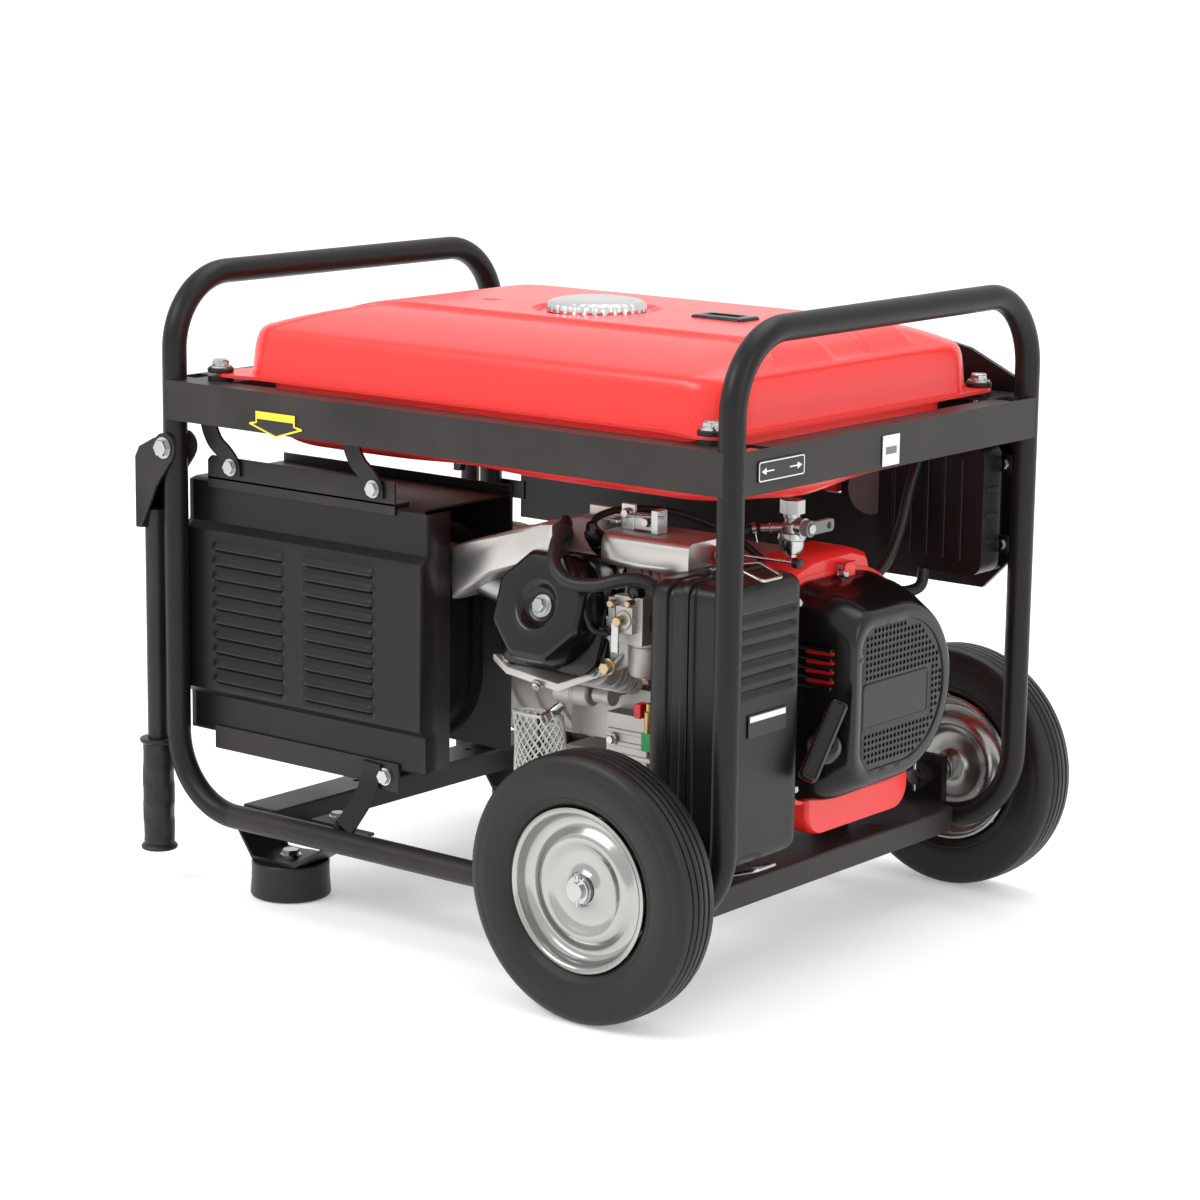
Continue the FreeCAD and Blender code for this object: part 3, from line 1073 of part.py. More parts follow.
NODES = {
    "left_end_hoop": lambda: end_hoop_with_pivots(-1),
    "right_end_hoop": lambda: end_hoop_with_pivots(1),
    "bottom_rails": bottom_rails,
    "tank_support_bars": tank_support_bars,
    "left_crossmember": left_crossmember,
    "right_crossmember": right_crossmember,
    "welded_brackets": welded_brackets,
    "rubber_feet": rubber_feet,
    "wheel_axles": wheel_axles,
    "near_tyre": lambda: tyre(-1),
    "far_tyre": lambda: tyre(1),
    "near_rim": lambda: rim(-1),
    "far_rim": lambda: rim(1),
    "near_lift_handle": lambda: lift_handle(-1),
    "far_lift_handle": lambda: lift_handle(1),
    "near_handle_grip": lambda: handle_grip(-1),
    "far_handle_grip": lambda: handle_grip(1),
    "tank_upper_shell": tank_upper_shell,
    "tank_lower_shell": tank_lower_shell,
    "rubber_mounts": rubber_mounts,
    "fuel_gauge_housing": fuel_gauge_housing,
    "fuel_cap_insert": fuel_cap_insert,
    "fuel_cap": fuel_cap,
    "fuel_valve_body": fuel_valve_body,
    "fuel_valve_lever": fuel_valve_lever,
    "muffler_body": muffler_body,
    "muffler_shield": muffler_shield,
    "muffler_brackets": muffler_brackets,
    "exhaust_pipe": exhaust_pipe,
    "exhaust_shroud": exhaust_shroud,
    "crankcase": crankcase,
    "cylinder_head": cylinder_head,
    "rocker_cover": rocker_cover,
    "blower_housing": blower_housing,
    "fan_cover": fan_cover,
    "recoil_grip": recoil_grip,
    "recoil_pulley": recoil_pulley,
    "crankshaft": crankshaft,
    "flywheel": flywheel,
    "piston": piston,
    "alternator_housing": alternator_housing,
    "alternator_stator": alternator_stator,
    "alternator_rotor": alternator_rotor,
    "air_filter_case": air_filter_case,
    "air_filter_cover": air_filter_cover,
    "air_filter_element": air_filter_element,
    "upper_filter_clip": lambda: filter_clip(True),
    "lower_filter_clip": lambda: filter_clip(False),
    "carburettor": carburettor,
    "hoses": hoses,
    "choke_lever": choke_lever,
    "spark_plug": spark_plug,
    "heat_sleeve": heat_sleeve,
    "control_box": control_box,
    "control_panel": control_panel,
    "power_sockets": power_sockets,
    "socket_lid": socket_lid,
    "engine_switch": engine_switch,
    "breaker_toggle": breaker_toggle,
    "fasteners": fasteners,
}

os.makedirs("parts", exist_ok=True)
for name, build in NODES.items():
    shape = build()
    shape.translate(V(-ORIGIN_X, 0, 0))
    shape.exportStep(f"parts/{name}.step")
    print(name, "valid" if shape.isValid() else "INVALID", len(shape.Solids), round(shape.Volume / 1000, 1))
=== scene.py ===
import math

import bmesh
import bpy
from mathutils import Matrix, Vector, noise


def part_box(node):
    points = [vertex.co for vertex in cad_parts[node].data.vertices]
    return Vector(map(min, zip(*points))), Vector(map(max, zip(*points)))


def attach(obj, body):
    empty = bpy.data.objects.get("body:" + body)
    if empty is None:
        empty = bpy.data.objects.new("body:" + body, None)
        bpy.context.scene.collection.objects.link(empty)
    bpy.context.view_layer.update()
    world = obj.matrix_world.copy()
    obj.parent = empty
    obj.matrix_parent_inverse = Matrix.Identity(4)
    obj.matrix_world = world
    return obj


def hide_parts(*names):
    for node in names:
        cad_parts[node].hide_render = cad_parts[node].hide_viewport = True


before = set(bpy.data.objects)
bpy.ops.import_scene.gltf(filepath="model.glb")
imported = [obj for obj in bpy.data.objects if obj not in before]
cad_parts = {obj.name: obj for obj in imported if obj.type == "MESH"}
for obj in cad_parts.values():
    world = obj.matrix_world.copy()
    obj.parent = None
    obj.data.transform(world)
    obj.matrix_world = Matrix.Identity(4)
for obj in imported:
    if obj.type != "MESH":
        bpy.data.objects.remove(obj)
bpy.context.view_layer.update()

# Portable open-frame generator. Points are written in millimetres from the middle of the four posts,
# with Z = 0 on the floor, and mm() turns them into the row frame's metres.
left_low, left_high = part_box("left_end_hoop")
right_low, right_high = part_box("right_end_hoop")
CENTRE_X = (left_low.x + right_high.x) / 2
POST_X = (right_high.x - left_low.x) * 500 - 12.5
POST_Y = right_high.y * 1000 - 12.5
TUBE_R = 12.5


def mm(x, y, z):
    return Vector((x / 1000 + CENTRE_X, y / 1000, z / 1000))


# ---------------------------------------------------------------- mesh helpers
def piece(name, bm, material, body="frame", replaces=(), sharp=32, bevel=0.0, segments=3):
    """Finish a mesh as a named piece that rides on a body."""
    bmesh.ops.recalc_face_normals(bm, faces=bm.faces)
    mesh = bpy.data.meshes.new(name)
    bm.to_mesh(mesh)
    bm.free()
    mesh.polygons.foreach_set("use_smooth", [True] * len(mesh.polygons))
    if sharp:
        mesh.set_sharp_from_angle(angle=math.radians(sharp))
    obj = bpy.data.objects.new(name, mesh)
    bpy.context.scene.collection.objects.link(obj)
    mesh.materials.append(material)
    if bevel:
        mod = obj.modifiers.new("round", "BEVEL")
        mod.width = bevel / 1000
        mod.segments = segments
        mod.limit_method = "ANGLE"
        mod.angle_limit = math.radians(30)
        mod.harden_normals = True
    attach(obj, body)
    if replaces:
        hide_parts(*replaces)
    return obj


def thicken(obj, thickness):
    """Give a sheet its thickness in millimetres, inwards."""
    mod = obj.modifiers.new("thickness", "SOLIDIFY")
    mod.thickness = thickness / 1000
    mod.offset = -1


def skin(bm, rows):
    """Quads between neighbouring closed rows of vertices."""
    count = len(rows[0])
    for a, b in zip(rows, rows[1:]):
        for i in range(count):
            j = (i + 1) % count
            bm.faces.new((a[i], a[j], b[j], b[i]))


def loft(bm, rings, close_start=True, close_end=True):
    """Skin a list of point rings."""
    rows = [[bm.verts.new(p) for p in ring] for ring in rings]
    skin(bm, rows)
    if close_start:
        bm.faces.new(rows[0])
    if close_end:
        bm.faces.new(rows[-1])


def closed_loft(bm, rings):
    """Skin point rings round and back to the first one."""
    rows = [[bm.verts.new(p) for p in ring] for ring in rings]
    skin(bm, rows + rows[:1])


def basis(direction):
    """Two unit vectors square to a direction."""
    d = Vector(direction).normalized()
    side = d.cross(Vector((0, 0, 1)))
    if side.length < 0.01:
        side = d.cross(Vector((1, 0, 0)))
    side.normalize()
    return d, side, d.cross(side)


def lathe(bm, origin, axis, profile, count=64, closed=False, wave=None):
    """Turn (offset along axis, radius) points in mm about an axis."""
    d, u, v = basis(axis)
    start = mm(*origin)
    rings = []
    for offset, radius in profile:
        ring = []
        for i in range(count):
            angle = 2 * math.pi * i / count
            r = radius * (wave(angle, offset, radius) if wave else 1) / 1000
            ring.append(start + d * (offset / 1000) + (u * math.cos(angle) + v * math.sin(angle)) * r)
        rings.append(ring)
    (closed_loft if closed else loft)(bm, rings)


def sweep(bm, points, radius, count=24):
    """Round tube through millimetre points, without twist; radius may be a list."""
    path = []
    for p in points:
        spot = mm(*p)
        if not path or (spot - path[-1]).length > 1e-6:
            path.append(spot)
    tangents = []
    for i in range(len(path)):
        tangents.append((path[min(i + 1, len(path) - 1)] - path[max(i - 1, 0)]).normalized())
    side = basis(tangents[0])[1]
    rings = []
    for i, (p, t) in enumerate(zip(path, tangents)):
        side = (side - t * side.dot(t)).normalized()
        up = t.cross(side)
        r = (radius[i] if isinstance(radius, (list, tuple)) else radius) / 1000
        rings.append([p + (side * math.cos(2 * math.pi * k / count) + up * math.sin(2 * math.pi * k / count)) * r
                      for k in range(count)])
    loft(bm, rings)


def bent(points, radii, steps=14):
    """Points along straight runs joined by tangent arcs."""
    points = [Vector(p) for p in points]
    out = [points[0]]
    for before, corner, after, radius in zip(points, points[1:], points[2:], radii):
        arrive, leave = (corner - before).normalized(), (after - corner).normalized()
        turn = arrive.angle(leave)
        if turn < 0.01:
            out.append(corner)
            continue
        setback = radius * math.tan(turn / 2)
        first = corner - arrive * setback
        centre = corner + (leave - arrive).normalized() * (radius / math.cos(turn / 2))
        spoke = first - centre
        axis = arrive.cross(leave).normalized()
        for k in range(steps + 1):
            out.append(centre + Matrix.Rotation(turn * k / steps, 3, axis) @ spoke)
    out.append(points[-1])
    return out


def smooth_path(points, steps=10):
    """Catmull-Rom curve through the points."""
    pts = [Vector(p) for p in points]
    pts = [pts[0] * 2 - pts[1]] + pts + [pts[-1] * 2 - pts[-2]]
    out = []
    for a, b, c, d in zip(pts, pts[1:], pts[2:], pts[3:]):
        for k in range(steps):
            t = k / steps
            out.append(0.5 * (2 * b + (c - a) * t + (2 * a - 5 * b + 4 * c - d) * t * t
                              + (3 * b - a - 3 * c + d) * t ** 3))
    out.append(pts[-2])
    return out


def block(bm, x, y, z):
    """Box between the values given in millimetres."""
    corners = [bm.verts.new(mm(px, py, pz)) for px in x for py in y for pz in z]
    for face in ((0, 1, 3, 2), (4, 6, 7, 5), (0, 4, 5, 1), (2, 3, 7, 6), (0, 2, 6, 4), (1, 5, 7, 3)):
        bm.faces.new([corners[i] for i in face])


def rounded(x, y, corner, straight=1, arc=8):
    """Closed rounded rectangle as (x, y) points, counter-clockwise."""
    (x0, x1), (y0, y1) = x, y
    corner = min(corner, (x1 - x0) / 2 - 0.01, (y1 - y0) / 2 - 0.01)
    centres = [(x1 - corner, y1 - corner, 0), (x0 + corner, y1 - corner, 90),
               (x0 + corner, y0 + corner, 180), (x1 - corner, y0 + corner, 270)]
    out = []
    for n, (cx, cy, start) in enumerate(centres):
        for k in range(arc + 1):
            a = math.radians(start + 90 * k / arc)
            out.append((cx + corner * math.cos(a), cy + corner * math.sin(a)))
        nx, ny, nstart = centres[(n + 1) % 4]
        a = math.radians(nstart)
        end = (nx + corner * math.cos(a), ny + corner * math.sin(a))
        last = out[-1]
        for k in range(1, straight):
            out.append((last[0] + (end[0] - last[0]) * k / straight, last[1] + (end[1] - last[1]) * k / straight))
    return out


def blend_value(a, b, t):
    return a + (b - a) * t


def smoothstep(low, high, value):
    t = min(max((value - low) / (high - low), 0), 1)
    return t * t * (3 - 2 * t)


def solid_outline(bm, outline, place, start, end):
    """Push a closed 2D outline from start to end; place(a, b, depth) gives the point."""
    loft(bm, [[place(a, b, d) for a, b in outline] for d in (start, end)])


def facing_y(a, b, depth):
    return mm(a, depth, b)


def facing_x(a, b, depth):
    return mm(depth, a, b)


def hex_head(bm, origin, axis, across, height, washer=0.0):
    """Flanged hexagon head with a chamfered top."""
    radius = across / math.sqrt(3)
    d, u, v = basis(axis)
    start = mm(*origin)
    if washer:
        lathe(bm, origin, axis, [(0, washer), (1.4, washer), (1.8, washer - 0.6)], 32)
    rings = []
    for offset, scale in ((1.6 if washer else 0, 1), (height - 0.9, 1), (height, 0.86)):
        rings.append([start + d * (offset / 1000) + (u * math.cos(math.pi * k / 3) + v * math.sin(math.pi * k / 3))
                      * (radius * scale / 1000) for k in range(6)])
    loft(bm, rings)


# ---------------------------------------------------------------- materials
def material(name, base, other, metallic=0.0, rough=(0.4, 0.5), grain=400, bump=0.1, patch=8,
             coat=0.0, coat_rough=0.08, wear=None, sheen=0.0, spec=0.5, bump_distance=0.0003):
    """Principled surface whose colour, roughness and fine relief vary with procedural noise."""
    mat = bpy.data.materials.new(name)
    mat.use_nodes = True
    nodes, links = mat.node_tree.nodes, mat.node_tree.links
    shader = nodes["Principled BSDF"]
    shader.inputs["Metallic"].default_value = metallic
    shader.inputs["Coat Weight"].default_value = coat
    shader.inputs["Coat Roughness"].default_value = coat_rough
    shader.inputs["Specular IOR Level"].default_value = spec
    shader.inputs["Sheen Weight"].default_value = sheen
    place = nodes.new("ShaderNodeTexCoord")
    patches = nodes.new("ShaderNodeTexNoise")
    patches.inputs["Scale"].default_value = patch
    patches.inputs["Detail"].default_value = 6
    links.new(place.outputs["Object"], patches.inputs["Vector"])
    mix = nodes.new("ShaderNodeMix")
    mix.data_type = "RGBA"
    mix.inputs["A"].default_value = (*base, 1)
    mix.inputs["B"].default_value = (*other, 1)
    links.new(patches.outputs["Fac"], mix.inputs["Factor"])
    colour = mix.outputs["Result"]
    fine = nodes.new("ShaderNodeTexNoise")
    fine.inputs["Scale"].default_value = grain
    fine.inputs["Detail"].default_value = 3
    links.new(place.outputs["Object"], fine.inputs["Vector"])
    if wear:
        edge = nodes.new("ShaderNodeNewGeometry")
        ramp = nodes.new("ShaderNodeMapRange")
        ramp.inputs["From Min"].default_value = 0.52
        ramp.inputs["From Max"].default_value = 0.60
        links.new(edge.outputs["Pointiness"], ramp.inputs["Value"])
        rub = nodes.new("ShaderNodeMath")
        rub.operation = "MULTIPLY"
        links.new(ramp.outputs["Result"], rub.inputs[0])
        links.new(patches.outputs["Fac"], rub.inputs[1])
        worn = nodes.new("ShaderNodeMix")
        worn.data_type = "RGBA"
        worn.inputs["B"].default_value = (*wear, 1)
        links.new(rub.outputs["Value"], worn.inputs["Factor"])
        links.new(colour, worn.inputs["A"])
        colour = worn.outputs["Result"]
    links.new(colour, shader.inputs["Base Color"])
    rough_map = nodes.new("ShaderNodeMapRange")
    rough_map.inputs["From Min"].default_value = 0.3
    rough_map.inputs["From Max"].default_value = 0.7
    rough_map.inputs["To Min"].default_value = rough[0]
    rough_map.inputs["To Max"].default_value = rough[1]
    links.new(patches.outputs["Fac"], rough_map.inputs["Value"])
    links.new(rough_map.outputs["Result"], shader.inputs["Roughness"])
    relief = nodes.new("ShaderNodeBump")
    relief.inputs["Strength"].default_value = bump
    relief.inputs["Distance"].default_value = bump_distance
    links.new(fine.outputs["Fac"], relief.inputs["Height"])
    links.new(relief.outputs["Normal"], shader.inputs["Normal"])
    return mat


M = {
    "frame": material("powder_coat", (0.0060, 0.0048, 0.0050), (0.0095, 0.0078, 0.0080), 0.0, (0.33, 0.42), 900,
                      0.25, 14, wear=(0.04, 0.035, 0.032), spec=0.26),
    "sheet": material("black_heat_paint", (0.0058, 0.0046, 0.0046), (0.0090, 0.0074, 0.0074), 0.0, (0.32, 0.42), 700,
                      0.12, 10, wear=(0.035, 0.03, 0.028), spec=0.26),
    "red": material("red_enamel", (0.80, 0.026, 0.022), (0.86, 0.032, 0.026), 0.0, (0.32, 0.40), 260, 0.05,
                    5, coat=0.30, coat_rough=0.16, spec=0.40),
    "zinc": material("zinc_plate", (0.38, 0.385, 0.385), (0.58, 0.58, 0.56), 1.0, (0.18, 0.34), 500, 0.10, 40),
    "rim": material("rim_zinc", (0.30, 0.30, 0.295), (0.52, 0.51, 0.48), 1.0, (0.15, 0.30), 300, 0.05, 12),
    "cast": material("cast_aluminium", (0.45, 0.43, 0.41), (0.60, 0.58, 0.55), 0.8, (0.42, 0.58), 900, 0.5,
                     25, bump_distance=0.0005),
    "bright": material("sheet_aluminium", (0.50, 0.48, 0.46), (0.66, 0.64, 0.61), 0.95, (0.28, 0.40), 300, 0.08, 20),
    "cap": material("cap_aluminium", (0.58, 0.58, 0.58), (0.70, 0.70, 0.69), 1.0, (0.16, 0.26), 700, 0.05, 30),
    "tyre": material("tyre_rubber", (0.0066, 0.0058, 0.0052), (0.0125, 0.0112, 0.0100), 0.0, (0.38, 0.52), 700, 0.25,
                     20, spec=0.34),
    "rubber": material("black_rubber", (0.007, 0.0068, 0.0068), (0.013, 0.0125, 0.0125), 0.0, (0.38, 0.50), 500,
                       0.15, 20, spec=0.36),
    "plastic": material("moulded_plastic", (0.0055, 0.0046, 0.0045), (0.0088, 0.0074, 0.0072), 0.0, (0.30, 0.38),
                        1400, 0.35, 12, spec=0.32),
    "gloss": material("gloss_plastic", (0.0042, 0.0034, 0.0032), (0.0066, 0.0056, 0.0052), 0.0, (0.18, 0.26), 600,
                      0.04, 12, coat=0.08, coat_rough=0.08, spec=0.34),
    "red_plastic": material("red_plastic", (0.55, 0.008, 0.008), (0.62, 0.012, 0.010), 0.0, (0.25, 0.35), 500, 0.05,
                            12),
    "grey_plastic": material("grey_plastic", (0.13, 0.13, 0.135), (0.19, 0.19, 0.19), 0.0, (0.40, 0.5), 900, 0.2, 20),
    "steel": material("machined_steel", (0.30, 0.30, 0.31), (0.42, 0.42, 0.42), 1.0, (0.28, 0.40), 400, 0.1, 30),
    "iron": material("cast_iron", (0.08, 0.075, 0.07), (0.13, 0.12, 0.115), 0.7, (0.5, 0.65), 600, 0.5, 20),
    "gold": material("gold_passivate", (0.42, 0.27, 0.09), (0.55, 0.38, 0.15), 1.0, (0.28, 0.42), 300, 0.1, 30),
    "copper": material("winding_copper", (0.40, 0.15, 0.06), (0.52, 0.23, 0.10), 0.9, (0.3, 0.45), 500, 0.2, 40),
    "foam": material("filter_foam", (0.05, 0.05, 0.05), (0.10, 0.10, 0.10), 0.0, (0.8, 0.95), 500, 1.0, 60),
    "scorched": material("scorched_wrap", (0.030, 0.022, 0.018), (0.36, 0.30, 0.26), 0.3, (0.55, 0.85), 260, 1.0,
                         90, bump_distance=0.002),
    "glass_fibre": material("woven_glass_fibre", (0.58, 0.58, 0.54), (0.74, 0.74, 0.71), 0.1, (0.45, 0.6), 900,
                            0.4, 60),
    "yellow": material("yellow_film", (0.80, 0.62, 0.02), (0.86, 0.68, 0.03), 0.0, (0.35, 0.45), 500, 0.03, 12),
    "black_film": material("black_film", (0.006, 0.006, 0.006), (0.010, 0.010, 0.010), 0.0, (0.35, 0.45), 500,
                           0.03, 12),
    "white_film": material("white_film", (0.70, 0.70, 0.69), (0.78, 0.78, 0.77), 0.0, (0.35, 0.45), 500, 0.03, 12),
    "brass": material("brass_fitting", (0.42, 0.31, 0.19), (0.52, 0.41, 0.27), 1.0, (0.25, 0.38), 400, 0.08, 30),
    "green_plastic": material("green_plastic", (0.01, 0.24, 0.05), (0.02, 0.30, 0.07), 0.0, (0.3, 0.4), 500, 0.05,
                              20),
}

# Material of each CAD node that is shown as it is.
NODE_MATERIALS = {
    "frame": ("tank_support_bars", "left_crossmember", "right_crossmember", "welded_brackets",
              "near_lift_handle", "far_lift_handle"),
    "zinc": ("wheel_axles", "fasteners", "upper_filter_clip", "lower_filter_clip"),
    "rubber": ("rubber_mounts",),
    "cast": ("crankcase", "cylinder_head", "piston", "alternator_housing"),
    "steel": ("crankshaft",),
    "gold": ("flywheel",),
    "iron": ("alternator_rotor",),
    "copper": ("alternator_stator",),
    "grey_plastic": ("recoil_pulley", "power_sockets", "socket_lid", "fuel_valve_lever"),
    "plastic": ("fuel_cap_insert", "control_box", "control_panel", "breaker_toggle"),
    "foam": ("air_filter_element",),
    "red_plastic": ("engine_switch",),
}


def dress_cad_nodes():
    for key, names in NODE_MATERIALS.items():
        for name in names:
            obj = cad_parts[name]
            if obj.material_slots:
                for slot in obj.material_slots:
                    slot.material = M[key]
            else:
                obj.data.materials.append(M[key])


# ---------------------------------------------------------------- camera, floor, light
def make_camera():
    """The view of the generator's near side and recoil end."""
    yaw, pitch, roll = math.radians(38.446), math.radians(-11.386), math.radians(0.736)
    forward = Vector((-math.sin(yaw) * math.cos(pitch), math.cos(yaw) * math.cos(pitch), math.sin(pitch)))
    right = Vector((math.cos(yaw), math.sin(yaw), 0))
    up = right.cross(forward)
    axis_x = right * math.cos(roll) + up * math.sin(roll)
    axis_y = -right * math.sin(roll) + up * math.cos(roll)
    turn = Matrix((axis_x, axis_y, -forward)).transposed().to_4x4()
    data = bpy.data.cameras.new("camera")
    data.lens = 100.96
    data.sensor_width = 36
    data.clip_end = 50
    camera = bpy.data.objects.new("camera", data)
    camera.matrix_world = Matrix.Translation(mm(2091.43, -2626.14, 990.83)) @ turn
    bpy.context.scene.collection.objects.link(camera)
    bpy.context.scene.camera = camera


def area_light(name, place, target, size, power):
    data = bpy.data.lights.new(name, "AREA")
    data.shape = "RECTANGLE"
    data.size, data.size_y = size
    data.energy = power
    light = bpy.data.objects.new(name, data)
    light.location = place
    light.rotation_euler = (Vector(target) - Vector(place)).to_track_quat("-Z", "Y").to_euler()
    bpy.context.scene.collection.objects.link(light)


def make_studio():
    """Pale floor, even surroundings and three soft lights."""
    bm = bmesh.new()
    bmesh.ops.create_grid(bm, x_segments=8, y_segments=8, size=90)
    mesh = bpy.data.meshes.new("floor")
    bm.to_mesh(mesh)
    bm.free()
    floor = bpy.data.objects.new("floor", mesh)
    floor.location.z = -0.0004
    bpy.context.scene.collection.objects.link(floor)
    paper = material("studio_floor", (0.93, 0.93, 0.93), (0.94, 0.94, 0.94), 0.0, (0.6, 0.7), 20, 0.0, 2)
    paper_shader = paper.node_tree.nodes["Principled BSDF"]
    paper_shader.inputs["Emission Color"].default_value = (1, 1, 1, 1)
    paper_shader.inputs["Emission Strength"].default_value = 0.28
    mesh.materials.append(paper)
    world = bpy.data.worlds.new("studio")
    world.use_nodes = True
    background = world.node_tree.nodes["Background"]
    background.inputs["Color"].default_value = (1, 1, 1, 1)
    background.inputs["Strength"].default_value = 1.0
    bpy.context.scene.world = world
    bpy.context.scene.view_settings.view_transform = "Standard"
    area_light("key", (-0.9, -2.6, 2.6), (0, 0, 0.35), (2.2, 1.0), 46)
    area_light("fill", (3.2, -0.4, 1.6), (0, 0, 0.35), (1.0, 2.0), 14)
    area_light("top", (0.2, 0.6, 3.0), (0, 0, 0.5), (2.6, 1.6), 30)


# ---------------------------------------------------------------- frame
def frame_tubes():
    """End hoops and bottom rails as smooth bent tubes."""
    foot, top = 80, 75
    rail_z = (left_low.z * 1000) + TUBE_R
    carry_z = left_high.z * 1000 - TUBE_R
    for side, name in ((-1, "left_end_hoop"), (1, "right_end_hoop")):
        x = side * POST_X
        inner = x - side * foot
        route = bent([(inner, -POST_Y, rail_z), (x, -POST_Y, rail_z), (x, -POST_Y, carry_z), (x, POST_Y, carry_z),
                      (x, POST_Y, rail_z), (inner, POST_Y, rail_z)], [foot, top, top, foot], 24)
        bm = bmesh.new()
        sweep(bm, route, TUBE_R, 40)
        piece("hoop_" + name.split("_")[0], bm, M["frame"], replaces=(name,))
    bm = bmesh.new()
    for side in (-1, 1):
        reach = POST_X - foot
        sweep(bm, [(-reach, side * POST_Y, rail_z), (reach, side * POST_Y, rail_z)], TUBE_R, 40)
    piece("rails", bm, M["frame"], replaces=("bottom_rails",))


def weld_beads():
    """Uneven beads where the angle bars and the crossmembers meet the tubes."""
    bm = bmesh.new()
    spots = []
    for sx in (-1, 1):
        for sy in (-1, 1):
            x, y = sx * POST_X, sy * (POST_Y + TUBE_R - 1.2)
            spots.append([(x - sx * 1.0, y, z) for z in range(494, 532, 4)])
            y = sy * POST_Y
            spots.append([(x + sx * (TUBE_R - 1.2), y - sy * 1.0, z) for z in range(494, 532, 4)])
    for x0, x1 in ((-268, -224), (172, 286)):
        for sy in (-1, 1):
            spots.append([(x, sy * (POST_Y - TUBE_R + 0.4), 99.5) for x in range(x0, x1, 4)])
    for spot in spots:
        radii = [1.5 + 0.6 * noise.noise(Vector(p) * 0.35) for p in spot]
        sweep(bm, spot, radii, 8)
    piece("weld_beads", bm, M["frame"])


def rubber_feet():
    """Two round buffers under the left end."""
    bm = bmesh.new()
    for side in (-1, 1):
        profile = [(0, 9), (0, 38), (1.2, 40.6), (3, 41.6), (10, 41.2), (19, 40.4), (30, 40.2), (36, 40.4),
                   (37.6, 39.4), (38, 37), (38, 5)]
        lathe(bm, (-245.5, side * 191.5, 0), (0, 0, 1), profile, 72)
    piece("foot_buffers", bm, M["rubber"], replaces=("rubber_feet",))


# ---------------------------------------------------------------- wheels
WHEEL_X, WHEEL_Y, AXLE_Z = 244.6, 308, 127


def wheels():
    """Ribbed tyre on a rim of two pressings, on each side."""
    for side, name in ((-1, "near"), (1, "far")):
        radius, bead, tread = 127, 77, 19.4
        profile = [(-17, bead), (-19, bead + 2), (-22, bead + 5), (-24.4, bead + 9), (-24.0, bead + 10.2),
                   (-24.6, bead + 11.4), (-26.2, bead + 18), (-27, bead + 27), (-26.8, bead + 34),
                   (-26.2, bead + 35.4), (-26.4, bead + 37), (-24.6, bead + 43.4), (-21.6, bead + 47.4),
                   (-tread, radius - 1.3)]
        ribs = 5
        width = 2 * tread / ribs
        for i in range(1, ribs):
            x = -tread + i * width
            crown = radius - 1.3 * (x / tread) ** 2
            profile += [(x - 1.5, crown), (x - 0.9, crown - 0.5), (x - 0.7, crown - 2.6), (x + 0.7, crown - 2.6),
                        (x + 0.9, crown - 0.5), (x + 1.5, crown)]
        profile += [(-a, r) for a, r in reversed(profile[:14])]
        profile += [(10, bead), (0, bead - 0.2), (-10, bead)]
        bm = bmesh.new()
        lathe(bm, (WHEEL_X, side * WHEEL_Y, AXLE_Z), (0, side, 0), profile, 144, closed=True)
        piece(name + "_wheel_tyre", bm, M["tyre"], name + "_wheel", (name + "_tyre",), sharp=40)
        outer = [(12, 8.05), (18.4, 8.05), (18.4, 13.4), (17.8, 14), (12.5, 14.2), (11.2, 16), (9.6, 17.5), (8.6, 24),
                 (8.0, 33), (8.6, 37.5), (11.4, 41.6), (12.8, 45), (12.6, 48.5), (10.4, 52.4), (6.6, 56), (5.2, 60.5),
                 (6.0, 65), (9.0, 68.8), (14.0, 70.6), (19.6, 71.2), (21.8, 72.6), (22.6, 75), (21.6, 77.2),
                 (20.6, 77.4)]
        back = [(19.6, 76.2), (20.2, 74.8), (19.2, 73.0), (14.0, 72.2), (7.4, 70.2), (3.8, 65.4), (2.8, 60),
                (4.4, 54.8), (8.6, 51), (10.4, 48), (10.6, 45.4), (9.4, 43), (6.8, 39), (5.8, 33), (6.4, 23),
                (6.4, 14), (6.4, 8.05)]
        bm = bmesh.new()
        lathe(bm, (WHEEL_X, side * WHEEL_Y, AXLE_Z), (0, side, 0), outer + back, 120, closed=True)
        mirrored = [(-o * (30 / 18.4 if r < 15 else 1), r) for o, r in outer + back]
        lathe(bm, (WHEEL_X, side * WHEEL_Y, AXLE_Z), (0, side, 0), mirrored, 120, closed=True)
        lathe(bm, (WHEEL_X, side * WHEEL_Y, AXLE_Z), (0, side, 0),
              [(-6, 13.9), (6, 13.9), (6, 8.05), (-6, 8.05)], 48, closed=True)
        piece(name + "_wheel_rim", bm, M["rim"], name + "_wheel", (name + "_rim",), sharp=40)


def axle_details():
    """Washer and split pin on each axle end."""
    bm = bmesh.new()
    for side in (-1, 1):
        lathe(bm, (WHEEL_X, side * 326.6, AXLE_Z), (0, side, 0), [(0, 8.1), (0, 12.5), (1.6, 12.5), (1.6, 8.1)], 40,
              closed=True)
        for lean in (-1, 1):
            x, y = WHEEL_X + lean * 0.9, side * 328
            tail = [(x, y, AXLE_Z + 9), (x, y, AXLE_Z - 10), (WHEEL_X + lean * 5, y, AXLE_Z - 15)]
            sweep(bm, bent(tail, [4], 5), 0.85, 8)
        eye = [(WHEEL_X + 3 * math.cos(a), side * 328, AXLE_Z + 13 + 3 * math.sin(a))
               for a in [2 * math.pi * k / 14 for k in range(15)]]
        sweep(bm, eye, 0.85, 8)
    piece("axle_split_pins", bm, M["zinc"])


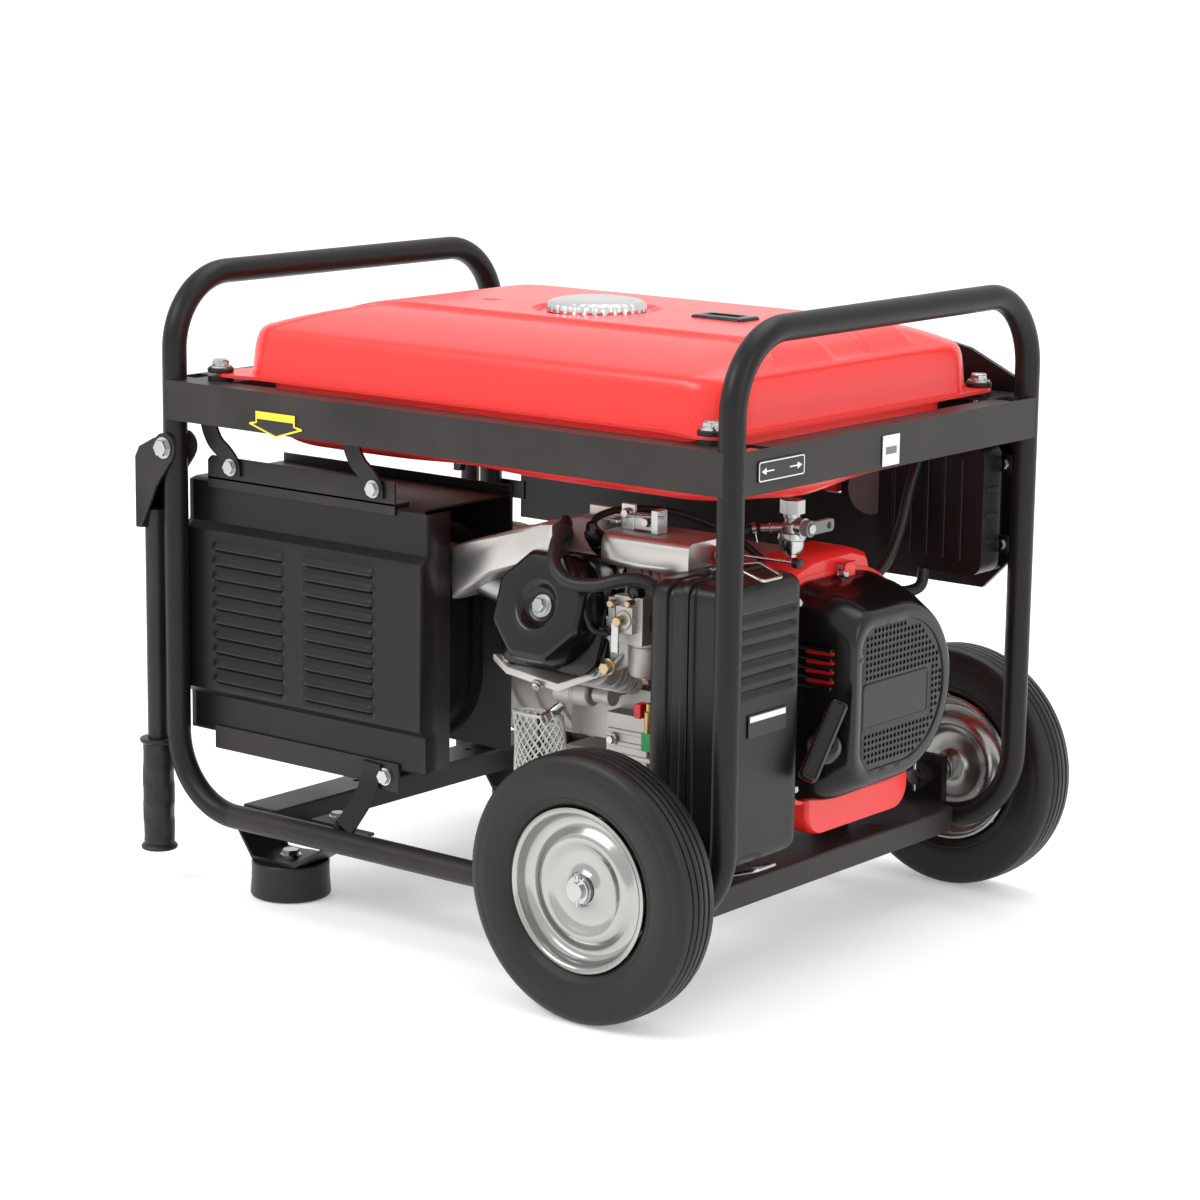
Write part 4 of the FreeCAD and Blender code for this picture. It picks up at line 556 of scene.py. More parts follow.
# ---------------------------------------------------------------- lift handles
def handle_grips():
    """Dimpled rubber grips at the lower ends of the lift handles."""
    for side, name in ((-1, "near"), (1, "far")):
        def lobes(angle, offset, radius):
            dent = 0.0
            for row in range(5):
                reach = math.exp(-((offset - 20 - 19.5 * row) / 7.5) ** 4)
                dent += reach * max(math.cos(3 * angle + math.pi * (row % 2)), 0) ** 0.8
            return 1 - 0.085 * dent
        profile = [(0, 6), (0, 17.6), (0.8, 18.8), (3, 19), (4.6, 18), (6, 15.6)]
        steps = 64
        profile += [(7 + i * 104 / steps, 15.9 + 0.8 * math.sin(math.pi * i / steps)) for i in range(steps + 1)]
        profile += [(113, 15.8), (114.4, 18), (115.6, 19), (118, 18.9), (119, 17.8), (119, 10.6)]
        bm = bmesh.new()
        lathe(bm, (-381, side * POST_Y, 36), (0, 0, 1), profile, 72, wave=lobes)
        piece(name + "_rubber_grip", bm, M["rubber"], name + "_handle", (name + "_handle_grip",))


# ---------------------------------------------------------------- tank
TANK_X = (-298, 318)
TANK_HALF_Y = 216
FILLER = (20, -28)
EAR = (309, 223)


def tank_ring(left, right, side, corner, height, lift=None):
    outline = rounded((TANK_X[0] + left, TANK_X[1] - right), (-TANK_HALF_Y + side, TANK_HALF_Y - side),
                      corner, 90, 12)
    return [mm(x, y, height + (lift(x, y) if lift else 0)) for x, y in outline]


def tank_relief(x, y):
    """Raised centre panel with a hollow at its right end, filler dish and small dimple."""
    panel = 4.2 * (1 - smoothstep(109, 115, abs(y)))
    panel *= smoothstep(-262, -165, x) * (1 - smoothstep(286, 306, x))
    panel -= 3.2 * (1 - smoothstep(26, 33, abs(y - 6))) * smoothstep(200, 250, x) * (1 - smoothstep(296, 310, x))
    dish = math.hypot(x - FILLER[0], y - FILLER[1])
    panel -= 3.2 * (1 - smoothstep(57, 63, dish))
    dimple = math.hypot(x + 106, y + 41)
    panel -= 3.0 * (1 - smoothstep(5, 9, dimple))
    return panel


def tank():
    """Upper pressing with its relief and neck, lower pressing with its swell."""
    crown_z, shoulder_z, seam_z = 611.0, 590.0, 541.0
    rings = [tank_ring(0, 0, 0, 46, seam_z), tank_ring(0.4, 0.3, 0.4, 46, seam_z + 2)]
    for inset, z in ((1.0, 553), (1.9, 566), (3.2, 576), (5.0, 582.5), (7.4, 586.6), (10.4, 589), (14.5, 590.6)):
        rings.append(tank_ring(inset * 1.15, inset * 0.9, inset, 46, z))
    for k in range(1, 25):
        g = k / 24
        z = shoulder_z + 0.8 + (crown_z - shoulder_z - 0.8) * (1 - (1 - g) ** 1.55)
        left = blend_value(16.7, 118, g)
        right = blend_value(13.0, 56, g)
        side = blend_value(14.5, 98, g)
        rings.append(tank_ring(left, right, side, blend_value(46, 34, g), z, tank_relief))
    for k in range(1, 53):
        g = k / 53
        left, right, side = (blend_value(a, b, g) for a, b in ((118, 300), (56, 312), (98, 214.5)))
        z = crown_z + 1.6 * math.sin(g * math.pi / 2)
        rings.append(tank_ring(left, right, side, blend_value(34, 1.4, g), z, tank_relief))
    bm = bmesh.new()
    loft(bm, rings, close_start=False)
    seam_plate(bm, seam_z - 1.8, seam_z)
    neck = [(-8, 23.5), (3.4, 23.5), (4.2, 24.4), (4.2, 26.4), (3.2, 27), (-8, 27)]
    lathe(bm, (*FILLER, 611), (0, 0, 1), neck, 64, closed=True)
    piece("tank_top", bm, M["red"], replaces=("tank_upper_shell",), sharp=50)

    def pan(x, y):
        swell = 9 * math.exp(-(((x - 268) / 70) ** 2 + ((y + 36) / 70) ** 2))
        arch = 4 * math.exp(-(((x + 20) / 60) ** 2)) * smoothstep(120, 190, abs(y))
        return arch - swell
    rings = [tank_ring(15, 19, 17, 46, seam_z - 2), tank_ring(16, 20, 18, 46, 520), tank_ring(18, 22, 20, 46, 496)]
    for k in range(1, 15):
        a = math.pi / 2 * k / 14
        rings.append(tank_ring(18 + 30 * (1 - math.cos(a)), 22 + 20 * (1 - math.cos(a)), 20 + 30 * (1 - math.cos(a)),
                               46, 490 - 22 * math.sin(a), lambda x, y, w=math.sin(a) ** 2: w * pan(x, y)))
    for k in range(1, 20):
        g = k / 20
        rings.append(tank_ring(blend_value(48, 300, g), blend_value(42, 314, g), blend_value(50, 214.5, g),
                               blend_value(46, 1.4, g), 468, pan))
    bm = bmesh.new()
    loft(bm, rings, close_start=False)
    seam_plate(bm, seam_z - 3.4, seam_z - 1.9)
    piece("tank_pan", bm, M["red"], replaces=("tank_lower_shell",), sharp=50)


def seam_plate(bm, low, high):
    """Pressed rim with four bolt ears."""
    outer = []
    for x, y in rounded((TANK_X[0] - 9, TANK_X[1] + 9), (-TANK_HALF_Y - 9, TANK_HALF_Y + 9), 52, 26, 12):
        sx, sy = (1 if x > 10 else -1), (1 if y > 0 else -1)
        reach = math.hypot(x - sx * 290, y - sy * 205)
        pull = 1 - smoothstep(6, 46, reach)
        outward = Vector((sx * 0.78, sy * 0.62))
        outer.append((x + outward.x * pull * 26, y + outward.y * pull * 26))
    inner = rounded((TANK_X[0] + 15, TANK_X[1] - 15), (-TANK_HALF_Y + 15, TANK_HALF_Y - 15), 44, 26, 12)
    closed_loft(bm, [[mm(x, y, z) for x, y in outline] for outline, z in
                     ((outer, low), (outer, high), (inner, high), (inner, low))])


def tank_fittings():
    """Bolts with washers and bushings at the four ears, the cap and the gauge."""
    metal, soft = bmesh.new(), bmesh.new()
    for sx in (-1, 1):
        for sy in (-1, 1):
            x, y = sx * EAR[0], sy * EAR[1]
            lathe(soft, (x, y, 541), (0, 0, 1), [(0, 12), (1, 13.4), (4, 13.4), (5, 12.4), (5, 6)], 40)
            lathe(metal, (x, y, 546), (0, 0, 1), [(0, 11.5), (1.8, 11.5), (2, 11)], 40)
            hex_head(metal, (x, y, 548), (0, 0, 1), 13, 6.4, 8.4)
    piece("tank_bolt_heads", metal, M["zinc"])
    piece("tank_bushings", soft, M["rubber"])

    lobes = 30

    def flutes(angle, offset, radius):
        deep = 0.03 if 1.5 < offset < 9.5 else 0.0
        return 1 - deep * (0.5 + 0.5 * math.cos(lobes * angle)) ** 2.2
    profile = [(0, 40), (0, 49), (1.0, 49.8), (4, 49.8), (7.2, 49.2), (9.2, 47.6), (10.6, 45), (11.4, 42), (11.9, 38.4),
               (12.3, 37), (12.7, 35), (12.9, 28), (13, 14), (13, 2)]
    bm = bmesh.new()
    lathe(bm, (*FILLER, 613.8), (0, 0, 1), profile, lobes * 8, wave=flutes)
    piece("filler_cap", bm, M["cap"], "cap", ("fuel_cap",), sharp=50)

    bm = bmesh.new()
    gx, gy, gz = 161, -5, 613.6
    tops = [(0, gz - 2), (0, gz + 3.6), (0.8, gz + 4.8), (2.2, gz + 5.4), (9.6, gz + 5.6), (10.4, gz + 5),
            (10.8, gz + 2.6)]
    rings = []
    for inset, z in tops:
        rings.append([mm(x, y, z) for x, y in rounded((gx - 31 + inset, gx + 31 - inset),
                                                       (gy - 18 + min(inset, 9.8), gy + 18 - min(inset, 9.8)),
                                                       max(6 - inset * 0.4, 1.5), 4, 6)])
    loft(bm, rings)
    piece("gauge_bezel", bm, M["gloss"], replaces=("fuel_gauge_housing",), sharp=40)
    bm = bmesh.new()
    block(bm, (gx - 14, gx + 16), (gy - 5.5, gy + 5.5), (gz + 2.7, gz + 3.3))
    piece("gauge_dial", bm, M["white_film"], bevel=0.2)
    bm = bmesh.new()
    block(bm, (gx - 2, gx - 1), (gy - 4.5, gy + 4.5), (gz + 3.4, gz + 3.9))
    piece("gauge_pointer", bm, M["red_plastic"])


# ---------------------------------------------------------------- exhaust side
SHIELD_Y = -226
LOUVRE_GROUPS = ((-311, -211), (-187, -89))


def muffler_shield():
    """Pressed heat shield with a raised field of open louvre hoods, a roof, a return flange, and a dark back sheet that
    stands in for the shade between the drum and the engine (painted shade).
    """
    x0, x1, low, high = -352, -30, 168, 428
    pitch = 137 / 9
    rows = [227 + pitch * i for i in range(10)]
    z_lines = {low, low + 4, 204, 206, 213, 215, 378, 380, 387, 389, high - 5, high - 2, high}
    for z in rows:
        z_lines |= {round(z + d, 2) for d in (-3.2, -3.0, -1.0, 1.5, 4.0, 5.5)}
    x_lines = set(range(x0, x1 + 1, 7)) | {x1}
    for a, b in LOUVRE_GROUPS:
        x_lines |= {a - 1, a + 1, a + 3, a + 6, b - 6, b - 3, b - 1, b + 1}
    x_lines, z_lines = sorted(x_lines), sorted(z_lines)

    def lift(x, z):
        out = 8.5 * min(smoothstep(205, 214, z), 1 - smoothstep(379, 388, z))
        for a, b in LOUVRE_GROUPS:
            side = min(smoothstep(a, a + 5, x), 1 - smoothstep(b - 5, b, x))
            for row in rows:
                if row - 3.1 < z < row + 5.5:
                    out += 3.6 * side * (1 - smoothstep(-1.5, 5.4, z - row)) ** 0.8
        return out

    bm = bmesh.new()
    grid = [[bm.verts.new(mm(x, SHIELD_Y - lift(x, z), z)) for x in x_lines] for z in z_lines]
    for i, z in enumerate(z_lines[:-1]):
        slit = any(abs(z - (row - 3.2)) < 0.06 for row in rows)
        for j, x in enumerate(x_lines[:-1]):
            middle = (x + x_lines[j + 1]) / 2
            if slit and any(a + 1.5 < middle < b - 1.5 for a, b in LOUVRE_GROUPS):
                continue
            bm.faces.new((grid[i][j], grid[i][j + 1], grid[i + 1][j + 1], grid[i + 1][j]))
    above = grid[-1]
    for y, z in ((-223.5, 430.5), (-220, 431.3), (-94, 431.3)):
        fresh = [bm.verts.new(mm(min(max(x, x0 + 4), x1 - 4), y, z)) for x in x_lines]
        for j in range(len(x_lines) - 1):
            bm.faces.new((above[j], above[j + 1], fresh[j + 1], fresh[j]))
        above = fresh
    edge = [row[-1] for row in grid]
    for x, y in ((-28.6, -224.6), (-28, -222), (-28, -192)):
        fresh = [bm.verts.new(mm(x, y - lift(x1, z) * (0.9 if y < -200 else 0.0), z)) for z in z_lines]
        for j in range(len(z_lines) - 1):
            bm.faces.new((edge[j], fresh[j], fresh[j + 1], edge[j + 1]))
        edge = fresh
    # Back sheet: a dark wall behind the drum, from the roof down to the foot of the shield, put where the engine side
    # lies in shade between drum and engine; it is painted shade, not a part of the generator.
    back = [above]
    for y, z in ((-92, 431.3), (-92, 440), (-90.6, 440), (-90.6, 430), (-90.6, low)):
        fresh = [bm.verts.new(mm(min(max(x, x0 + 4), x1 - 4), y, z)) for x in x_lines]
        for j in range(len(x_lines) - 1):
            bm.faces.new((back[-1][j], back[-1][j + 1], fresh[j + 1], fresh[j]))
        back.append(fresh)
    obj = piece("heat_shield", bm, M["sheet"], replaces=("muffler_shield",), sharp=40)
    thicken(obj, 1.3)


def strip(bm, points, width, thick):
    """Bent flat strap: points run down its middle, its width lies along X."""
    rings = []
    path = [Vector(p) for p in points]
    for i, p in enumerate(path):
        t = (path[min(i + 1, len(path) - 1)] - path[max(i - 1, 0)]).normalized()
        wide = Vector((1, 0, 0)) - t * t.x
        wide.normalize()
        out = t.cross(wide).normalized()
        rings.append([mm(*(p + wide * a * width / 2 + out * b * thick / 2)) for a, b in
                      ((-1, -1), (1, -1), (1, 1), (-1, 1))])
    loft(bm, rings)


def muffler_mounts():
    """Folded flanges above and below the shield with curved straps to the bar and the rail."""
    bm = bmesh.new()
    upper = [(-323, 423), (-68, 423), (-68, 456), (-318, 456), (-323, 451)]
    solid_outline(bm, upper, facing_y, -228.9, -226.2)
    lower = [(-316, 175), (-63, 175), (-63, 146), (-88, 146), (-100, 151), (-316, 151)]
    solid_outline(bm, lower, facing_y, -228.9, -226.2)
    block(bm, (-323, -68), (-228.9, -206), (431.6, 434.4))
    for top, foot in ((-314, -286), (-119, -92)):
        strip(bm, smooth_path([(top, -236, 502), (top + 1, -236, 488), (top + 9, -235.4, 472), (foot - 6, -233, 460),
                               (foot, -231, 450), (foot + 1, -230.6, 438)], 5), 21, 3)
    strip(bm, smooth_path([(-96, -230.6, 172), (-97, -230.8, 158), (-102, -235, 138), (-112, -243, 116),
                           (-120, -246.5, 103), (-121, -247, 101)], 5), 24, 3)
    for x in (-270, -120):
        block(bm, (x - 9, x + 9), (-100, -93), (425, 431))
    piece("muffler_flanges", bm, M["sheet"], replaces=("muffler_brackets",), bevel=0.5)


def muffler_drum():
    """Oval drum with rolled end seams and ribbed ends."""
    bm = bmesh.new()
    steps = [(-332, 40), (-332, 10), (-333, 5), (-334, 2), (-333, -2), (-330, -3), (-327, -2), (-325, 0),
             (-230, 0), (-227, 1.5), (-223, 1.5), (-220, 0), (-170, 0), (-167, 1.5), (-163, 1.5), (-160, 0),
             (-67, 0), (-65, -2), (-62, -3), (-59, -2), (-58, 2), (-59, 5), (-61.5, 9), (-61.5, 14), (-59.5, 17),
             (-59.5, 27), (-60.5, 29), (-60.5, 40)]
    rings = []
    for x, inset in steps:
        ring = rounded((-222 + inset, -108 - inset), (192 + inset, 408 - inset), 57 - min(inset, 40), 6, 14)
        rings.append([mm(x, y, z) for y, z in ring])
    loft(bm, rings)
    lathe(bm, (-332, -165, 252), (-1, 0, 0), [(0, 18), (30, 18), (30, 16), (2, 16)], 40, closed=True)
    piece("muffler_drum", bm, M["sheet"], replaces=("muffler_body",), sharp=45)


def exhaust():
    """Heat-wrapped pipe with a clamp, and the aluminium guards over the port and the head."""
    path = smooth_path([(-62, -162, 368), (-52, -162, 368), (-40, -162, 368), (-30, -161, 366), (-14, -154, 356),
                        (10, -140, 346), (30, -140, 346), (37, -140, 346)], 5)
    bm = bmesh.new()
    sweep(bm, path, 15.6, 32)
    piece("exhaust_bend", bm, M["steel"], replaces=("exhaust_pipe",))
    bm = bmesh.new()
    rings = []
    for k in range(30):
        x = -59.5 + 25 * k / 29
        rings.append([mm(x, -162 + r * math.cos(a), 368 + r * math.sin(a)) for a, r in
                      [(2 * math.pi * i / 72, 19.8 + 1.2 * math.sin(k * 1.4) + 2.2 * noise.noise(
                          Vector((k * 0.5, 6 * math.cos(2 * math.pi * i / 72), 6 * math.sin(2 * math.pi * i / 72)))))
                       for i in range(72)]])
    loft(bm, rings)
    piece("pipe_wrap", bm, M["scorched"])
    bm = bmesh.new()
    lathe(bm, (-36.4, -162, 368), (1, 0, 0), [(0, 17), (0, 24), (1, 25), (5, 25), (6, 24), (6, 17)], 48)
    hex_head(bm, (-52, -183.5, 372), (-0.2, -1, -0.1), 8, 5, 5.5)
    piece("pipe_clamp", bm, M["zinc"])

    bm = bmesh.new()
    low = [(99, 398), (60, 386), (20, 371), (-10, 351), (-20, 344), (-31, 338)]
    high = [(-33, 366), (-31, 393), (-8, 401), (24, 411), (56, 421), (84, 430), (99, 432)]
    outline = low + high
    rings = []
    for y, grow in ((-103, -2.5), (-106, -0.6), (-120, 0), (-176, 0), (-184, -0.6), (-188.4, -2.6), (-190, -6)):
        rings.append([mm(x + (36 - x) * -grow / 80, y, z + (392 - z) * -grow / 34) for x, z in outline])
    loft(bm, rings)
    piece("port_guard", bm, M["bright"], replaces=("exhaust_shroud",), sharp=35, bevel=2.2,
          segments=3)

    plan = [(250, -176), (172, -178)]
    plan += [(162 + 30 * math.cos(a), -147 + 30.5 * math.sin(a)) for a in
             [math.radians(270 - 12 * k) for k in range(16)]]
    plan += [(172, -100), (250, -100)]
    bm = bmesh.new()
    rings = []
    for z, inset in ((397, 0.5), (403, 0), (416, 0.5), (421, 1.6), (424.4, 4), (426, 8), (426.6, 12)):
        ring = []
        for x, y in plan:
            toward = Vector((196 - x, -138 - y)).normalized() * inset
            ring.append(mm(x + toward.x * (0 if x > 240 else 1), y + toward.y, z))
        rings.append(ring)
    loft(bm, rings, False, True)
    obj = piece("head_guard", bm, M["bright"], sharp=50)
    thicken(obj, 1.5)
    bm = bmesh.new()
    block(bm, (84, 140), (-128, -100), (427, 430))
    block(bm, (92, 132), (-126, -123), (428, 441))
    piece("guard_bridge", bm, M["bright"], bevel=1.2)
    bm = bmesh.new()
    block(bm, (150, 166), (-150, -146), (426.5, 452))
    block(bm, (166, 190), (-150, -144), (428, 444))
    block(bm, (190, 198), (-156, -140), (426.5, 450))
    block(bm, (140, 150), (-156, -142), (432, 436))
    piece("guard_clip", bm, M["zinc"], bevel=1.0)
    bm = bmesh.new()
    hex_head(bm, (158, -150, 443), (0, -1, 0), 8, 6, 5)
    hex_head(bm, (183, -150, 437), (0, -1, 0), 8, 7, 5)
    sweep(bm, [(146, -154, 440), (206, -154, 444)], 1.4, 10)
    piece("guard_clip_bolts", bm, M["zinc"])


# ---------------------------------------------------------------- engine
TILT = math.radians(19)
CRANK = (50, 265)
HEAD_X = 100


def head_point(distance, x, across):
    """Point in the tilted cylinder's own frame."""
    return mm(x, CRANK[0] - math.cos(TILT) * distance + math.sin(TILT) * across,
              CRANK[1] + math.sin(TILT) * distance + math.cos(TILT) * across)


def at_head(distance, x, across):
    """The same point in millimetres."""
    p = head_point(distance, x, across) * 1000
    return (p.x - CENTRE_X * 1000, p.y, p.z)


def polar_ring(sides, reach, power, distance, stretch=(1, 1)):
    """Rounded polygon ring square to the cylinder axis."""
    ring, count = [], 128
    for i in range(count):
        a = 2 * math.pi * i / count
        total = sum((max(math.cos(a - 2 * math.pi * k / sides), 0) / reach) ** power for k in range(sides))
        r = total ** (-1 / power)
        ring.append(head_point(distance, HEAD_X + r * math.cos(a) * stretch[0], r * math.sin(a) * stretch[1]))
    return ring


def rocker():
    """Eight-sided cover over the valves and its middle bolt."""
    bm = bmesh.new()
    rings = []
    for d, reach in ((230, 61.5), (236.5, 61.5), (238, 60.3), (239, 58.6), (241, 58.2), (242.4, 59.4),
                     (246, 59.4), (247.4, 58.0)):
        rings.append(polar_ring(4, reach, 7, d, stretch=(1.0, 0.97)))
    for d, reach, power in ((249, 56.6, 11), (252, 55.9, 16), (262, 54.6, 30), (272, 53.2, 42), (275.4, 52.2, 44),
                            (277.8, 50.6, 44), (279.4, 48.2, 44), (280, 45.5, 40)):
        rings.append(polar_ring(8, reach, power, d))
    for d, reach in ((280.1, 36), (280, 26), (279.4, 23.6), (277.6, 21.4), (274.4, 18.6), (271.6, 16.4), (270.6, 14),
                     (270.4, 9)):
        rings.append(polar_ring(24, reach, 60, d))
    loft(bm, rings)
    piece("valve_cover", bm, M["gloss"], replaces=("rocker_cover",), sharp=60)
    bm = bmesh.new()
    origin = at_head(270, HEAD_X, 0)
    axis = (0, -math.cos(TILT), math.sin(TILT))
    lathe(bm, origin, axis, [(0, 11.6), (1.6, 11.6), (2.2, 11)], 40)
    hex_head(bm, (origin[0], origin[1] - 1.9, origin[2] + 0.6), axis, 13, 7, 8.6)
    piece("valve_cover_bolt", bm, M["zinc"])


def head_casting():
    """Cast details beside and below the head: ledge, webs, ports, bosses and bolts."""
    bm = bmesh.new()
    rings = [polar_ring(4, reach, 9, d, stretch=(1.03, 1.0)) for d, reach in
             ((214, 60), (216, 63.5), (227, 63.8), (229.4, 62.6), (229.9, 60))]
    loft(bm, rings)
    for d in (176, 184, 192, 200, 208):
        rings = [polar_ring(4, reach, 9, dd, stretch=(1.04, 1.0)) for dd, reach in
                 ((d, 61), (d + 0.6, 62.6), (d + 2.8, 62.6), (d + 3.4, 61))]
        loft(bm, rings)
    piece("head_flange", bm, M["cast"], sharp=40)

    bm = bmesh.new()
    axis = Vector((0, -math.cos(TILT), math.sin(TILT)))
    ledge = [(30, -196, 296), (54, -204, 286), (118, -204, 278), (168, -188, 300), (176, -170, 318), (166, -150, 330),
             (160, -120, 292), (60, -120, 274), (30, -150, 286)]
    rings = [[mm(x, y, z + dz) for x, y, z in ledge] for dz in (-7, 0)]
    loft(bm, rings)
    web = [(150, -184, 352), (166, -182, 346), (182, -176, 330), (178, -170, 300), (160, -176, 292), (148, -184, 306)]
    rings = [[mm(x, y + dy, z) for x, y, z in web] for dy in (0, 40)]
    loft(bm, rings)
    piece("head_web", bm, M["cast"], bevel=3, segments=4)

    bm = bmesh.new()
    block(bm, (58, 204), (-108, -84), (206, 262))
    block(bm, (118, 168), (-128, -104), (176, 240))
    block(bm, (60, 112), (-118, -60), (150, 196))
    lathe(bm, (62, -132, 254), (1, 0, 0.05), [(0, 12), (1.5, 13.5), (22, 13.5), (23, 12.4), (25, 12.4), (26, 13.5),
                                              (42, 13.5), (44, 11.5)], 40)
    lathe(bm, (108, -132, 256), (1, 0, 0.05), [(0, 8), (14, 8), (15, 10), (22, 10), (22, 6)], 32)
    piece("crankcase_bosses", bm, M["cast"], bevel=3.5, segments=4)

    bm = bmesh.new()
    for i in range(4):
        block(bm, (120, 190), (-131 + i * 0.5, -104), (184 + i * 12, 189 + i * 12))
    piece("crankcase_ribs", bm, M["cast"], bevel=1.6)

    bm = bmesh.new()
    hex_head(bm, (58, -140, 228), (-0.3, -1, -0.3), 10, 9, 7)
    hex_head(bm, (96, -206, 277), (0, -0.6, -0.5), 8, 6, 6)
    for x, z in ((128, 214), (128, 182), (182, 236)):
        hex_head(bm, (x, -131, z), (0, -1, 0), 8, 5, 6)
    sweep(bm, [(56, -134, 230), (64, -128, 238)], 5, 20)
    for dx, across in ((-54, 52), (54, 52), (-54, -52), (54, -52)):
        hex_head(bm, at_head(236.8, HEAD_X + dx, across * 0.97), tuple(axis), 8, 5.4, 6.4)
    piece("engine_bolts", bm, M["zinc"])
    bm = bmesh.new()
    hex_head(bm, (163, -184, 300), (0.1, -1, -0.1), 11, 8, 8.4)
    piece("brass_plug", bm, M["brass"])


def carburettor_details():
    """Intake casting, throttle bracket, jets, screws and small levers."""
    bm = bmesh.new()
    block(bm, (168, 202), (-182, -128), (324, 370))
    block(bm, (176, 196), (-190, -178), (336, 362))
    block(bm, (164, 172), (-186, -122), (326, 368))
    lathe(bm, (186, -154, 324), (0, 0, -1), [(0, 19), (4, 19), (5, 17.4), (9, 17.4), (30, 17), (34, 15), (36, 10),
                                             (37, 4)], 48)
    lathe(bm, (186, -178, 349), (0, -1, 0), [(0, 11), (9, 11), (10, 9.6), (13, 9.6), (14, 8)], 36)
    lathe(bm, (200, -150, 345), (1, 0, 0), [(0, 19), (2, 20), (44, 20)], 48)
    piece("carburettor_body", bm, M["cast"], replaces=("carburettor",), bevel=2.4, segments=3)
    bm = bmesh.new()
    for x, z, r, h in ((172, 363, 4, 8), (194, 366, 3.4, 10), (173, 336, 3.4, 7), (186, 349, 5, 18)):
        lathe(bm, (x, -186 if r < 5 else -184, z), (0, -1, 0), [(0, r), (h - 1, r), (h, r - 0.8)], 20)
    hex_head(bm, (186, -154, 287.5), (0, 0, -1), 9, 6, 6)
    lathe(bm, (190, -170, 370), (0, 0, 1), [(0, 5), (6, 5), (6, 3), (12, 3), (13, 4), (15, 4)], 20)
    piece("carburettor_jets", bm, M["brass"])
    bm = bmesh.new()
    lathe(bm, (190, -174, 370), (0, -0.4, 1), [(0, 7), (2, 8.5), (9, 8.5), (12, 7), (13, 5)], 24)
    lathe(bm, (168, -190, 336), (-1, -0.5, 0.1), [(0, 5), (8, 5.6), (9, 4)], 20)
    block(bm, (160, 174), (-196, -190), (333, 340))
    piece("carburettor_knobs", bm, M["gloss"], bevel=0.8)
    bm = bmesh.new()
    block(bm, (164, 214), (-134, -131), (376, 378))
    block(bm, (164, 168), (-178, -131), (374, 377))
    sweep(bm, [(170, -176, 379), (228, -150, 384)], 1.1, 10)
    coil = [(186 + 26 * k / 70, -166 + 3 * math.cos(k * 0.9), 381 + 3 * math.sin(k * 0.9)) for k in range(71)]
    sweep(bm, coil, 0.6, 6)
    block(bm, (176, 184), (-196, -194), (318, 346))
    piece("throttle_links", bm, M["zinc"], bevel=0.5)
    bm = bmesh.new()
    block(bm, (198, 206), (-188, -176), (256, 270))
    piece("red_connector", bm, M["red_plastic"], bevel=1)
    bm = bmesh.new()
    block(bm, (208, 222), (-190, -178), (226, 244))
    piece("green_connector", bm, M["green_plastic"], bevel=1.5)
    bm = bmesh.new()
    lathe(bm, (215, -184, 244), (0, 0, 1), [(0, 6), (20, 6), (21, 4.5), (28, 4.5)], 24)
    piece("amber_filter", bm, M["gold"])


def flexible_lines():
    """Breather hose, fuel hose and ignition lead with their clips."""
    bm = bmesh.new()
    breather = smooth_path([(112, -184, 421), (114, -192, 425), (117, -206, 416), (128, -222, 398), (150, -227, 386),
                            (178, -223, 386), (202, -213, 393), (218, -203, 393), (228, -195, 384), (230, -190, 366),
                            (230, -188, 350)], 8)
    sweep(bm, breather, 6.6, 24)
    sweep(bm, smooth_path([(112, -184, 421), (100, -172, 430), (92, -160, 425)], 8), 6.2, 20)
    sweep(bm, smooth_path([(243.5, -48.3, 426), (230, -58, 423), (218, -72, 412), (210, -92, 396), (208, -114, 380)],
                          8), 4.2, 20)
    sweep(bm, smooth_path([(122, -158, 420), (121, -150, 434), (134, -122, 440), (164, -86, 436), (200, -52, 418),
                           (226, -36, 396), (232, -30, 388)], 8), 3.5, 16)
    sweep(bm, smooth_path([(172, -196, 334), (160, -206, 340), (150, -204, 362), (158, -196, 380)], 8), 2.6, 14)
    piece("lines", bm, M["rubber"], replaces=("hoses",))
    bm = bmesh.new()
    for centre, axis in (((236, -53, 424.4), (0.72, 0.5, 0.2)), ((208.6, -110, 383), (0.1, -0.8, -0.6))):
        lathe(bm, centre, axis, [(-2, 4.4), (-2, 5.6), (2, 5.6), (2, 4.4)], 24, closed=True)
        _, u, v = basis(axis)
        for lean in (-0.25, 0.25):
            start = Vector(centre) + v * 5
            sweep(bm, [tuple(start), tuple(start + (v + u * lean) * 9)], 0.9, 8)
    piece("hose_clips", bm, M["zinc"])
    bm = bmesh.new()
    lathe(bm, (122, -126, 390), (0, -0.74, 0.67), [(0, 6), (10, 6), (10, 8.2), (14, 8.2), (14, 6.4), (16, 8), (18, 6.6),
                                                   (20, 7.8), (22, 6.6), (34, 6.2)], 28)
    piece("plug_body", bm, M["white_film"], replaces=("spark_plug",))
    bm = bmesh.new()
    lathe(bm, (122, -141, 404), (0, -0.74, 0.67), [(0, 9), (2, 10.6), (12, 10.4), (13, 9.4), (22, 9), (26, 7.6)], 28)
    lathe(bm, (122, -157, 419), (0, -0.3, 1), [(-4, 7), (2, 7.4), (8, 6), (12, 4.4)], 24)
    piece("plug_cap", bm, M["gloss"])


